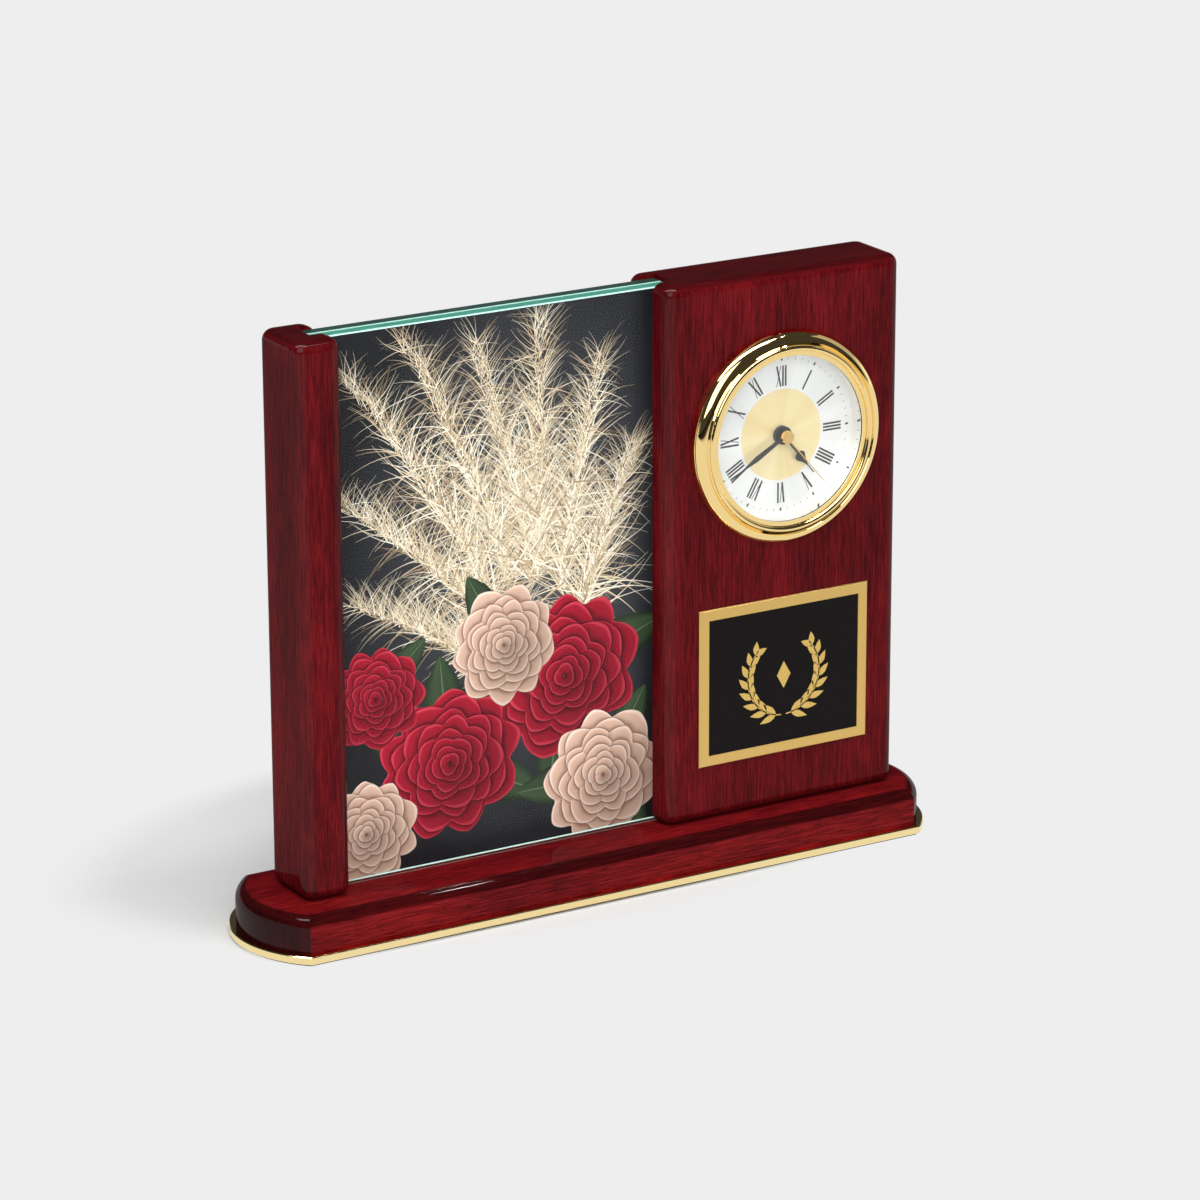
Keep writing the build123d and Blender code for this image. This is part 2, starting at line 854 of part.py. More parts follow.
# Train plate: the front plate with the bushing, the stud, the pillars and the pivot holes
with BuildPart() as train_plate:
    with BuildSketch(clock_plane(train_plate_back)):
        Circle(train_plate_radius)
    extrude(amount=train_plate_thickness)
    with BuildSketch(clock_plane(dial_back)):
        Circle(bushing_radius)
    extrude(amount=bushing_front - dial_back)
    with BuildSketch(clock_plane(motion_level)):
        with Locations(motion_place):
            Circle(stud_radius)
    extrude(amount=train_plate_back - motion_level)
    with BuildSketch(clock_plane(back_plate_front)):
        with Locations(*pillar_places):
            Circle(pillar_radius)
            Circle(movement_screw_radius + pivot_clearance, mode=Mode.SUBTRACT)
    extrude(amount=train_plate_back - back_plate_front)
    with BuildSketch(clock_plane(train_plate_back)):
        Circle(hour_tube_radius + tube_clearance)
    extrude(amount=bushing_front - train_plate_back, mode=Mode.SUBTRACT)
    with BuildSketch(clock_plane(train_plate_back)):
        with Locations(third_place, intermediate_place, rotor_place):
            Circle(arbor_radius + pivot_clearance)
        with Locations(stem_place):
            Circle(stem_radius + pivot_clearance)
    extrude(amount=pivot_depth + end_play, mode=Mode.SUBTRACT)

# Circuit board, on two bosses of the train plate, and the quartz can on it
board_bosses = [
    (board_middle[0] + side * (board_width / 2 - 2 * board_boss_radius), board_middle[1])
    for side in (-1, 1)
]
with BuildPart() as train_plate_with_bosses:
    add(train_plate.part)
    with BuildSketch(clock_plane(board_front)):
        with Locations(*board_bosses):
            Circle(board_boss_radius)
    extrude(amount=board_standoff)
finish(train_plate_with_bosses, "train_plate")
with BuildPart() as circuit_board:
    with BuildSketch(clock_plane(board_back)):
        with Locations(board_middle):
            RectangleRounded(board_width, board_height, board_boss_radius)
    extrude(amount=board_thickness)
finish(circuit_board, "circuit_board")
with BuildPart() as quartz_crystal:
    quartz_start = (
        panel_middle + board_middle[0] - quartz_length / 2,
        upright_front - board_back + quartz_radius,
        clock_height + board_middle[1] + board_pad_offset,
    )
    with BuildSketch(Plane(origin=quartz_start, x_dir=(0, 1, 0), z_dir=(1, 0, 0))):
        Circle(quartz_radius)
    extrude(amount=quartz_length)
finish(quartz_crystal, "quartz_crystal")

# Stepping motor: stator plate, coil core lying on it, and the coil on its bobbin
arm_left = third_place[0] + tip_radius(third_teeth, third_module) + layer_gap
coil_x = arm_left + stator_arm_width + layer_gap + bobbin_radius
core_half = coil_length / 2 + bobbin_flange + core_width
core_bottom = (coil_x, rotor_place[1])
core_top = (coil_x, core_bottom[1] + 2 * core_half - core_width)
coil_middle = (coil_x, (core_bottom[1] + core_top[1]) / 2)
with BuildPart() as stator:
    stator_bore = magnet_radius + rotor_air_gap
    arm_middle = arm_left + stator_arm_width / 2
    with BuildSketch(clock_plane(seconds_level)):
        with Locations(rotor_place):
            Circle(stator_bore + stator_ring_width)
        with BuildLine():
            Polyline(rotor_place, core_bottom)
        trace(line_width=core_width)
        with BuildLine():
            Polyline((arm_middle, rotor_place[1]), (arm_middle, core_top[1]), core_top)
        trace(line_width=stator_arm_width)
        with Locations(core_bottom, core_top):
            Circle(core_width / 2)
        with Locations(rotor_place):
            Circle(stator_bore, mode=Mode.SUBTRACT)
    extrude(amount=stator_thickness)
finish(stator, "stator")
with BuildPart() as coil_core:
    with BuildSketch(clock_plane(core_back)):
        with Locations(coil_middle):
            SlotOverall(2 * core_half, core_width, rotation=90)
    extrude(amount=core_thickness)
finish(coil_core, "coil_core")
with BuildPart() as coil:
    coil_start = (
        panel_middle + coil_x,
        upright_front - core_back - core_thickness / 2,
        clock_height + coil_middle[1] - coil_length / 2 - bobbin_flange,
    )
    coil_plane = Plane(origin=coil_start, x_dir=(1, 0, 0), z_dir=(0, 0, 1))
    with BuildSketch(coil_plane):
        Circle(coil_radius)
    extrude(amount=coil_length + 2 * bobbin_flange)
    for flange_start in (0, coil_length + bobbin_flange):
        with BuildSketch(coil_plane.offset(flange_start)):
            Circle(bobbin_radius)
        extrude(amount=bobbin_flange)
    with BuildSketch(coil_plane):
        Rectangle(core_width + 2 * pivot_clearance, core_thickness + 2 * pivot_clearance)
    extrude(amount=coil_length + 2 * bobbin_flange, mode=Mode.SUBTRACT)
finish(coil, "coil")

# Back plate: pivot holes, the battery's round hole and two bosses that carry the stator
with BuildPart() as back_plate:
    with BuildSketch(clock_plane(back_plate_back)):
        Circle(back_plate_radius)
        Circle(seconds_bore, mode=Mode.SUBTRACT)
        with Locations(third_place, intermediate_place, rotor_place):
            Circle(arbor_radius + pivot_clearance, mode=Mode.SUBTRACT)
        with Locations(stem_place):
            Circle(stem_radius + pivot_clearance, mode=Mode.SUBTRACT)
        with Locations(*pillar_places):
            Circle(movement_screw_radius + tube_clearance, mode=Mode.SUBTRACT)
        with Locations(cell_place):
            Circle(cell_radius + hatch_fit, mode=Mode.SUBTRACT)
    extrude(amount=back_plate_thickness)
    with BuildSketch(clock_plane(back_plate_front)):
        with Locations(core_bottom, core_top):
            Circle(core_width / 2)
    extrude(amount=seconds_level - back_plate_front)
finish(back_plate, "back_plate")

# Movement screws: three in one group, through the back plate into the pillars
with BuildPart() as movement_screws:
    with BuildSketch(clock_plane(back_plate_back - movement_screw_head_height)):
        with Locations(*pillar_places):
            Circle(movement_screw_head_radius)
    extrude(amount=movement_screw_head_height)
    with BuildSketch(clock_plane(back_plate_back)):
        with Locations(*pillar_places):
            Circle(movement_screw_radius)
    extrude(amount=back_plate_thickness + movement_screw_bite)
finish(movement_screws, "movement_screws")

# Battery: a button cell, its two contact strips and the bayonet hatch
with BuildPart() as battery_cell:
    with BuildSketch(clock_plane(cell_back)):
        with Locations(cell_place):
            Circle(cell_radius)
    extrude(amount=cell_height - cell_cap_height)
    with BuildSketch(clock_plane(cell_front - cell_cap_height)):
        with Locations(cell_place):
            Circle(cell_cap_radius)
    extrude(amount=cell_cap_height)
finish(battery_cell, "battery_cell")

contact_offset = stem_radius + contact_stem_gap + contact_width / 2
negative_x = stem_place[0] - contact_offset
negative_pad = (negative_x, board_middle[1])
with BuildPart() as contact_negative:
    with BuildSketch(clock_plane(cell_front)):
        with BuildLine():
            Polyline(cell_place, (negative_x, cell_place[1] + cell_radius), negative_pad)
        trace(line_width=contact_width)
    extrude(amount=contact_thickness)
    with BuildSketch(clock_plane(cell_front + contact_thickness)):
        with Locations(negative_pad):
            Rectangle(contact_width, contact_width)
    extrude(amount=board_back - cell_front - contact_thickness)
finish(contact_negative, "contact_negative")

positive_x = stem_place[0] + contact_offset
side_step = positive_x - cell_place[0]
positive_side = cell_place[1] + math.sqrt(cell_radius**2 - side_step**2)
positive_tab = positive_side + contact_width / 2
positive_pad = (positive_x, board_middle[1] - board_pad_offset)
with BuildPart() as contact_positive:
    with BuildSketch(clock_plane(back_plate_front)):
        with BuildLine():
            Polyline((positive_x, positive_tab), positive_pad)
        trace(line_width=contact_width)
    extrude(amount=contact_thickness)
    with BuildSketch(clock_plane(back_plate_front)):
        with Locations((positive_x, positive_tab)):
            Rectangle(contact_width, contact_thickness)
    extrude(amount=contact_tab_height)
    with BuildSketch(clock_plane(back_plate_front)):
        with Locations(positive_pad):
            Rectangle(contact_width, contact_thickness)
    extrude(amount=board_back - back_plate_front)
finish(contact_positive, "contact_positive")

with BuildPart() as battery_hatch:
    with BuildSketch(clock_plane(cup_back)):
        with Locations(cell_place):
            Circle(hatch_radius)
    extrude(amount=cup_floor_thickness)
    with BuildSketch(clock_plane(cup_back)):
        with Locations(cell_place):
            Circle(cell_radius)
    extrude(amount=hatch_plug_front - cup_back)
    with BuildSketch(clock_plane(hatch_plug_front - hatch_lug_thickness)):
        with Locations(cell_place):
            add(bayonet_bar(hatch_lug_reach, hatch_lug_half_angle, 0))
    extrude(amount=hatch_lug_thickness)
    with BuildSketch(clock_plane(cup_back)):
        with Locations(cell_place):
            Rectangle(hatch_slot_length, hatch_slot_width)
    extrude(amount=hatch_slot_depth, mode=Mode.SUBTRACT)
finish(battery_hatch, "battery_hatch")

# Hands: flat outlines that point to twelve, turned clockwise to the time shown
minute_angle = 360.0 * (shown_minutes % 60) / 60
hour_angle = 360.0 * shown_minutes / (12 * 60)
second_angle = 360.0 * shown_seconds / 60


def mirrored(points):
    """A closed outline from the points of its right half, listed from foot to tip."""
    return points + [(-x, y) for x, y in reversed(points)]


with BuildPart() as hour_hand:
    needle = needle_width / 2
    half_leaf = hour_hand_leaf / 2
    heel = (hour_hand_leaf_foot + hour_hand_leaf_wide_at) / 2
    waist = (hour_hand_leaf_wide_at + hour_hand_leaf_end) / 2
    with BuildSketch(clock_plane(hour_hand_back)):
        Circle(hour_hand_boss_radius)
        with BuildSketch(mode=Mode.PRIVATE) as blade:
            with BuildLine():
                for side in (-1, 1):
                    Polyline(
                        (0, 0),
                        (side * 2 * needle, 0),
                        (side * 2 * needle, hour_hand_leaf_foot),
                    )
                    ThreePointArc(
                        (side * 2 * needle, hour_hand_leaf_foot),
                        (side * (half_leaf - needle), heel - needle),
                        (side * half_leaf, hour_hand_leaf_wide_at),
                    )
                    ThreePointArc(
                        (side * half_leaf, hour_hand_leaf_wide_at),
                        (side * (half_leaf / 2 - needle), waist),
                        (side * needle, hour_hand_leaf_end),
                    )
                    Polyline(
                        (side * needle, hour_hand_leaf_end),
                        (side * needle, hour_hand_length),
                        (0, hour_hand_length),
                    )
            make_face()
        add(blade.sketch.rotate(Axis.Z, -hour_angle))
        Circle(hour_tube_radius + hand_fit, mode=Mode.SUBTRACT)
    extrude(amount=hand_thickness)
finish(hour_hand, "hour_hand")

with BuildPart() as minute_hand:
    minute_outline = mirrored(
        [
            (minute_hand_foot_width / 2, 0),
            (minute_hand_width / 2, minute_hand_wide_at),
            (needle_width / 2, minute_hand_needle_at),
            (needle_width / 2, minute_hand_length),
        ]
    )
    with BuildSketch(clock_plane(minute_hand_back)):
        Circle(minute_hand_boss_radius)
        Polygon(*minute_outline, rotation=-minute_angle, align=None)
        Circle(minute_tube_radius + hand_fit, mode=Mode.SUBTRACT)
    extrude(amount=hand_thickness)
finish(minute_hand, "minute_hand")

with BuildPart() as second_hand:
    second_outline = mirrored(
        [
            (second_hand_width / 2, 0),
            (second_hand_width / 2, second_cap_radius),
            (second_hand_width / 4, second_hand_length),
        ]
    )
    with BuildSketch(clock_plane(second_hand_back)):
        Circle(second_hand_boss_radius)
        Polygon(*second_outline, rotation=-second_angle, align=None)
        Circle(seconds_arbor_radius + hand_fit, mode=Mode.SUBTRACT)
    extrude(amount=second_hand_thickness)
    with BuildSketch(clock_plane(second_hand_back + second_hand_thickness)):
        Circle(second_cap_radius)
    extrude(amount=second_cap_height)
finish(second_hand, "second_hand")
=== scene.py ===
import math

import bmesh
import bpy
from mathutils import Matrix, Vector


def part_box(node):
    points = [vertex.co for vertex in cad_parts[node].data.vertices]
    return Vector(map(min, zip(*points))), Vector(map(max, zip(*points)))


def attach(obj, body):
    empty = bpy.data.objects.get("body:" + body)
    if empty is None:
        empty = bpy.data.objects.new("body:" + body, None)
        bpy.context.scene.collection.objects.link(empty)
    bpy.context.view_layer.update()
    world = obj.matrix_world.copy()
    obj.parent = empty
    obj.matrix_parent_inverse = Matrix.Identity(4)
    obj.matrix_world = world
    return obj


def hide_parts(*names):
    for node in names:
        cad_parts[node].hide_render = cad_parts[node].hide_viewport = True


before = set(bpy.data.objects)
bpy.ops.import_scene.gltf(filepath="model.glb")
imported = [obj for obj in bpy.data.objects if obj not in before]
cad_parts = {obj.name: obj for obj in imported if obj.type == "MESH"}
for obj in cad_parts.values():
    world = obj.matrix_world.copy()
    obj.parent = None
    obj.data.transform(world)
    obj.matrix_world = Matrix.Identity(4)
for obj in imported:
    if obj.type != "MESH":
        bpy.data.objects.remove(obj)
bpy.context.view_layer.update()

# Felt pad: a sheet of pressed wool felt glued under the metal plate, where it hides the screw
# heads and keeps the plate off the table. Its rim is soft, and only its dark edge shows.
MM = 0.001
felt_low, felt_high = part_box("felt_pad")
felt_end_radius = 33.06 * MM
felt_soft_edge = 0.25 * MM


def hex_colour(text):
    """An sRGB hex colour as linear red, green, blue and alpha."""
    channels = [int(text[i : i + 2], 16) / 255 for i in (1, 3, 5)]
    linear = [c / 12.92 if c <= 0.04045 else ((c + 0.055) / 1.055) ** 2.4 for c in channels]
    return (*linear, 1.0)


def add_node(tree, kind, inputs=None, **settings):
    """Adds a node: settings are its properties, inputs its socket values or the links to them."""
    node = tree.nodes.new(kind)
    for name, value in settings.items():
        setattr(node, name, value)
    for name, value in (inputs or {}).items():
        if isinstance(value, bpy.types.NodeSocket):
            tree.links.new(value, node.inputs[name])
        else:
            node.inputs[name].default_value = value
    return node


def bare_material(name):
    """A new material with an empty node tree, and that tree."""
    material = bpy.data.materials.new(name)
    material.use_nodes = True
    material.node_tree.nodes.clear()
    return material, material.node_tree


def cells_of(tree, size, centre=(0, 0, 0)):
    """Object coordinates from a centre, in cells of this size; an endless cell flattens its axis."""
    return add_node(
        tree,
        "ShaderNodeMapping",
        {
            "Vector": add_node(tree, "ShaderNodeTexCoord").outputs["Object"],
            "Location": [-c / s for c, s in zip(centre, size)],
            "Scale": [1 / s for s in size],
        },
    ).outputs["Vector"]


def mottle(tree, size, detail):
    """Uneven light and dark from 0 to 1, in blots of this real size."""
    return add_node(
        tree,
        "ShaderNodeTexNoise",
        {"Vector": cells_of(tree, size), "Scale": 1.0, "Detail": detail},
    ).outputs["Fac"]


def graded(tree, factor, *stops):
    """Colours along a factor from 0 to 1, each stop a place and a hex colour."""
    ramp = add_node(tree, "ShaderNodeValToRGB", {"Fac": factor})
    elements = ramp.color_ramp.elements
    while len(elements) < len(stops):
        elements.new(1.0)
    for element, (place, colour) in zip(elements, stops):
        element.position = place
        element.color = hex_colour(colour)
    return ramp.outputs["Color"]


def surface(material, look):
    """Shows the material by a shader, or by one with these values, and gives the material back."""
    tree = material.node_tree
    if isinstance(look, dict):
        look = add_node(tree, "ShaderNodeBsdfPrincipled", look)
    add_node(tree, "ShaderNodeOutputMaterial", {"Surface": look.outputs[0]})
    return material


def new_piece(name, mesh, material, body):
    """A piece whose place is in its mesh, riding on a body."""
    piece = bpy.data.objects.new(name, mesh)
    bpy.context.scene.collection.objects.link(piece)
    mesh.materials.clear()
    mesh.materials.append(material)
    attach(piece, body)
    return piece


def mesh_from(name, build, closed=True):
    """A mesh made by a function that fills a bmesh; a closed one has its faces turned outwards."""
    work = bmesh.new()
    build(work)
    if closed:
        bmesh.ops.recalc_face_normals(work, faces=work.faces)
    mesh = bpy.data.meshes.new(name)
    work.to_mesh(mesh)
    work.free()
    return mesh


def pressed_felt():
    """Wool felt has no gloss: a tangle of short fibres breaks it up into fine light and dark."""
    material, tree = bare_material("pressed_wool_felt")
    tangle = mottle(tree, (0.3 * MM,) * 3, 4.0)
    relief = add_node(tree, "ShaderNodeBump", {"Height": tangle, "Distance": 0.1 * MM})
    return surface(
        material,
        {
            "Base Color": graded(tree, tangle, (0.3, "#100e11"), (0.7, "#2c282d")),
            "Roughness": 0.95,
            "Specular IOR Level": 0.1,
            "Sheen Weight": 0.3,
            "Normal": relief.outputs["Normal"],
        },
    )


def felt_outline(inset, steps=40):
    """The pad's outline: straight long sides and bowed ends, drawn in by an inset."""
    radius = felt_end_radius - inset
    centre = felt_high.x - felt_end_radius
    sweep = math.asin((felt_high.y - inset) / radius)
    angles = [sweep * (2 * i / steps - 1) for i in range(steps + 1)]
    right = [(centre + radius * math.cos(a), radius * math.sin(a)) for a in angles]
    return right + [(-x, -y) for x, y in right]


def fill_felt(work):
    """Stacks the outline into a pad with a soft lower rim."""
    levels = (
        (felt_low.z, 2 * felt_soft_edge),
        (felt_low.z + 0.3 * felt_soft_edge, 0.7 * felt_soft_edge),
        (felt_low.z + felt_soft_edge, 0.0),
        (felt_high.z - 0.5 * felt_soft_edge, 0.0),
        (felt_high.z, 0.3 * felt_soft_edge),
    )
    rings = [[work.verts.new((x, y, z)) for x, y in felt_outline(inset)] for z, inset in levels]
    for below, above in zip(rings, rings[1:]):
        for i in range(len(below)):
            j = (i + 1) % len(below)
            work.faces.new((below[i], below[j], above[j], above[i]))
    work.faces.new(rings[0])
    work.faces.new(rings[-1])


felt = new_piece("felt_sheet", mesh_from("felt_sheet", fill_felt), pressed_felt(), "frame")
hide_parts("felt_pad")

# Base plate: a flat steel plate with its edges broken, plated pale gold, polished, and screwed
# under the wood. Its edge runs round the base as a bright line that mirrors the table.


def dress(material, *nodes):
    """Puts a material on CAD nodes."""
    for node in nodes:
        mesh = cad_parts[node].data
        mesh.materials.clear()
        mesh.materials.append(material)


def polished_gold(name, tint, least_rough, most_rough):
    """Polished plating mirrors what is round it, blurred a little by fine buffing marks."""
    material, tree = bare_material(name)
    buffing = mottle(tree, (2.5 * MM,) * 3, 5.0)
    haze = add_node(
        tree,
        "ShaderNodeMapRange",
        {"Value": buffing, "From Min": 0.3, "From Max": 0.7, "To Min": least_rough, "To Max": most_rough},
    ).outputs["Result"]
    return surface(material, {"Base Color": hex_colour(tint), "Metallic": 1.0, "Roughness": haze})


dress(polished_gold("polished_plate_gold", "#ffe8aa", 0.05, 0.12), "base_plate")

# Wooden base, post and clock panel: solid hardwood stained rosewood red, filled, lacquered and
# buffed. The post and the panel have upright grain, and the base has its grain along its length.


def lacquered_rosewood(name, grain, stain, stained_end_shaded_edge_tint, end_fibres, edge_shade_share):
    """Stained rosewood under clear lacquer: fine red fibres, short dark pores and a wet gloss.

    Cut ends drink more stain and turn darker. The rounded edges are painted darker too, by their
    share of that dark tint: painted shade, standing in for the dark reflections along them. The
    lacquer lies thicker and glossier on ends and edges than on the rubbed-down flats.
    """
    material, tree = bare_material(name)
    thin_coat, thick_coat = 0.12, 0.32
    pore_tint, pore_depth = "#2a0306", 0.7
    cloud_share = 0.35
    cut_starts, cut_full = 0.5, 0.8
    pore_starts, pore_full = 0.55, 0.7
    flat_ends, round_full = 0.999, 0.95
    facing = add_node(
        tree,
        "ShaderNodeVectorMath",
        {0: add_node(tree, "ShaderNodeTexCoord").outputs["Normal"]},
        operation="ABSOLUTE",
    )
    sides = add_node(tree, "ShaderNodeSeparateXYZ", {0: facing.outputs[0]}).outputs
    on_end = add_node(
        tree,
        "ShaderNodeMapRange",
        {"Value": sides[grain], "From Min": cut_starts, "From Max": cut_full},
        interpolation_type="SMOOTHSTEP",
    ).outputs["Result"]

    def fibre(across, length, detail):
        """Noise drawn out along the grain, and along the end's own fibres where it is cut."""
        along, on_cut = (
            cells_of(tree, [length if axis == run else across for axis in "XYZ"])
            for run in (grain, end_fibres)
        )
        place = add_node(
            tree, "ShaderNodeMix", {"Factor": on_end, "A": along, "B": on_cut}, data_type="VECTOR"
        ).outputs["Result"]
        return add_node(
            tree,
            "ShaderNodeTexNoise",
            {"Vector": place, "Scale": 1.0, "Detail": detail, "Roughness": 0.6},
        ).outputs["Fac"]

    streaks = fibre(0.55 * MM, 11 * MM, 4.0)
    clouds = fibre(14 * MM, 60 * MM, 2.0)
    pores = fibre(0.45 * MM, 4.5 * MM, 2.0)
    figure = add_node(
        tree, "ShaderNodeMix", {"Factor": cloud_share, "A": streaks, "B": clouds}
    ).outputs["Result"]
    open_pore = add_node(
        tree,
        "ShaderNodeMapRange",
        {"Value": pores, "From Min": pore_starts, "From Max": pore_full, "To Max": pore_depth},
    ).outputs["Result"]
    stained = add_node(
        tree,
        "ShaderNodeMix",
        {"Factor": open_pore, "A": graded(tree, figure, *stain), "B": hex_colour(pore_tint)},
        data_type="RGBA",
    ).outputs["Result"]
    upright = add_node(
        tree, "ShaderNodeMath", {0: sides["X"], 1: sides["Y"]}, operation="MAXIMUM"
    ).outputs[0]
    flatness = add_node(
        tree, "ShaderNodeMath", {0: upright, 1: sides["Z"]}, operation="MAXIMUM"
    ).outputs[0]
    rounded = add_node(
        tree, "ShaderNodeMapRange", {"Value": flatness, "From Min": flat_ends, "From Max": round_full}
    ).outputs["Result"]
    # Painted shade: the rounded edges take this share of the dark end tint.
    painted_edge_shade = add_node(
        tree, "ShaderNodeMath", {0: rounded, 1: edge_shade_share}, operation="MULTIPLY"
    ).outputs[0]
    stained_end_shaded_edge_mask, lapped = (
        add_node(tree, "ShaderNodeMath", {0: edge, 1: on_end}, operation="MAXIMUM").outputs[0]
        for edge in (painted_edge_shade, rounded)
    )
    # Real stain on cut ends, and the same dark tint as painted shade on rounded edges.
    stain_with_edge_shade = add_node(
        tree,
        "ShaderNodeMix",
        {"Factor": stained_end_shaded_edge_mask, "A": stained, "B": graded(tree, figure, *stained_end_shaded_edge_tint)},
        data_type="RGBA",
    ).outputs["Result"]
    gloss = add_node(
        tree, "ShaderNodeMapRange", {"Value": lapped, "To Min": thin_coat, "To Max": thick_coat}
    ).outputs["Result"]
    return surface(
        material,
        {
            "Base Color": stain_with_edge_shade,
            "Roughness": 0.5,
            "Specular IOR Level": 0.0,
            "Coat Weight": gloss,
            "Coat Roughness": 0.02,
            "Coat IOR": 1.5,
        },
    )


# The post's and panel's rounded edges are painted a little darker, as shade.
upright_wood = lacquered_rosewood(
    "lacquered_rosewood_upright",
    grain="Z",
    stain=((0.36, "#37070b"), (0.5, "#580d12"), (0.64, "#751419")),
    stained_end_shaded_edge_tint=((0.36, "#2a0507"), (0.5, "#3e090c"), (0.64, "#4f0e12")),
    end_fibres="X",
    edge_shade_share=0.4,
)
# The base's rounded edges and curved ends are painted nearly as dark as its cut ends, as shade.
level_wood = lacquered_rosewood(
    "lacquered_rosewood_level",
    grain="X",
    stain=((0.36, "#41080b"), (0.5, "#640f13"), (0.64, "#82181a")),
    stained_end_shaded_edge_tint=((0.36, "#180304"), (0.5, "#240506"), (0.64, "#340709")),
    end_fibres="Z",
    edge_shade_share=0.9,
)
dress(upright_wood, "left_post", "clock_panel")
dress(level_wood, "base")

# Wood screws: four zinc-plated steel screws that draw plate, base and uprights together. Their
# heads sit in the plate, covered by the felt.


def plated_steel(name, tint, rough):
    """Bright zinc or nickel plate: a grey metal with a soft, slightly uneven shine."""
    material, tree = bare_material(name)
    spread = add_node(
        tree,
        "ShaderNodeMapRange",
        {"Value": mottle(tree, (0.8 * MM,) * 3, 4.0), "To Min": 0.6 * rough, "To Max": 1.5 * rough},
    ).outputs["Result"]
    return surface(material, {"Base Color": hex_colour(tint), "Metallic": 1.0, "Roughness": spread})


zinc_steel = plated_steel("zinc_plated_steel", "#c2c4c4", 0.28)
dress(zinc_steel, *[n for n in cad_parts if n.startswith("base_screws")])

# Two glass panes: 4.8 mm low-reflection picture glass, cut to the print's size, with ground edges
# and the arrises taken off. They slide down the uprights' grooves. Edge on, the glass is green.
# The back pane's edges are painted darker, as shade, and the arrises pale, their frost with a
# painted highlight.


def lit_through(tree, glass, tint):
    """The glass for the eye, and a clear tint for light on its way to what is behind it."""
    path = add_node(tree, "ShaderNodeLightPath").outputs
    lets_light_by = add_node(
        tree,
        "ShaderNodeMath",
        {0: path["Is Shadow Ray"], 1: path["Is Diffuse Ray"]},
        operation="MAXIMUM",
    ).outputs[0]
    passing = add_node(tree, "ShaderNodeBsdfTransparent", {"Color": hex_colour(tint)})
    return add_node(
        tree, "ShaderNodeMixShader", {0: lets_light_by, 1: glass.outputs[0], 2: passing.outputs[0]}
    )


def sides_of(tree, coordinate):
    """The X, Y and Z of a texture coordinate, such as Normal: which way the surface faces."""
    whole = add_node(tree, "ShaderNodeTexCoord").outputs[coordinate]
    return add_node(tree, "ShaderNodeSeparateXYZ", {0: whole}).outputs


def float_glass(name, edge_colour_and_shade, arris_frost_and_highlight):
    """Clear and coated on its faces, which mirror only at a slant; frosted green at the ground edge,
    and pale at the arris: its frost with a painted highlight.
    """
    material, tree = bare_material(name)
    face_limit, arris_limit = 0.9, 0.3
    facing = sides_of(tree, "Normal")["Y"]
    on_edge, on_flat = (
        add_node(tree, "ShaderNodeMath", {0: facing, 1: 0.0, 2: limit}, operation="COMPARE").outputs[0]
        for limit in (face_limit, arris_limit)
    )
    clear = add_node(
        tree,
        "ShaderNodeBsdfPrincipled",
        {
            "Base Color": hex_colour("#ffffff"),
            "Roughness": 0.0,
            "IOR": 1.52,
            "Specular Tint": hex_colour("#000000"),
            "Transmission Weight": 1.0,
        },
    )
    grind = mottle(tree, (8 * MM, 0.8 * MM, 8 * MM), 3.0)
    flat_edge = graded(tree, grind, (0.3, edge_colour_and_shade[0]), (0.7, edge_colour_and_shade[1]))
    # Painted light: the arris tint is frost with a painted highlight, and a darker edge tint is painted
    # shade.
    edge_frost_and_painted_light = add_node(
        tree,
        "ShaderNodeMix",
        {"Factor": on_flat, "A": hex_colour(arris_frost_and_highlight), "B": flat_edge},
        data_type="RGBA",
    ).outputs["Result"]
    ground = add_node(
        tree,
        "ShaderNodeBsdfPrincipled",
        {"Base Color": edge_frost_and_painted_light, "Roughness": 0.3, "IOR": 1.52, "Specular IOR Level": 0.15},
    )
    glass = add_node(tree, "ShaderNodeMixShader", {0: on_edge, 1: clear.outputs[0], 2: ground.outputs[0]})
    return surface(material, lit_through(tree, glass, "#fafdfc"))


dress(float_glass("float_glass_front", ("#2f7a68", "#4d9a86"), "#b8dcd2"), "front_glass")
# The same glass as the front pane: its darker edge and arris tints are painted shade.
dress(float_glass("float_glass_rear_shaded", ("#13302a", "#24483e"), "#9fc8bc"), "back_glass")

# Picture: a colour print on photographic paper, held flat between the panes. It shows a studio
# still life, pale grass plumes and garden flowers against charcoal, and its back is white.
print_low, print_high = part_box("photo_print")
print_middle = (print_low + print_high) / 2
ink_depth = 0.045 * MM


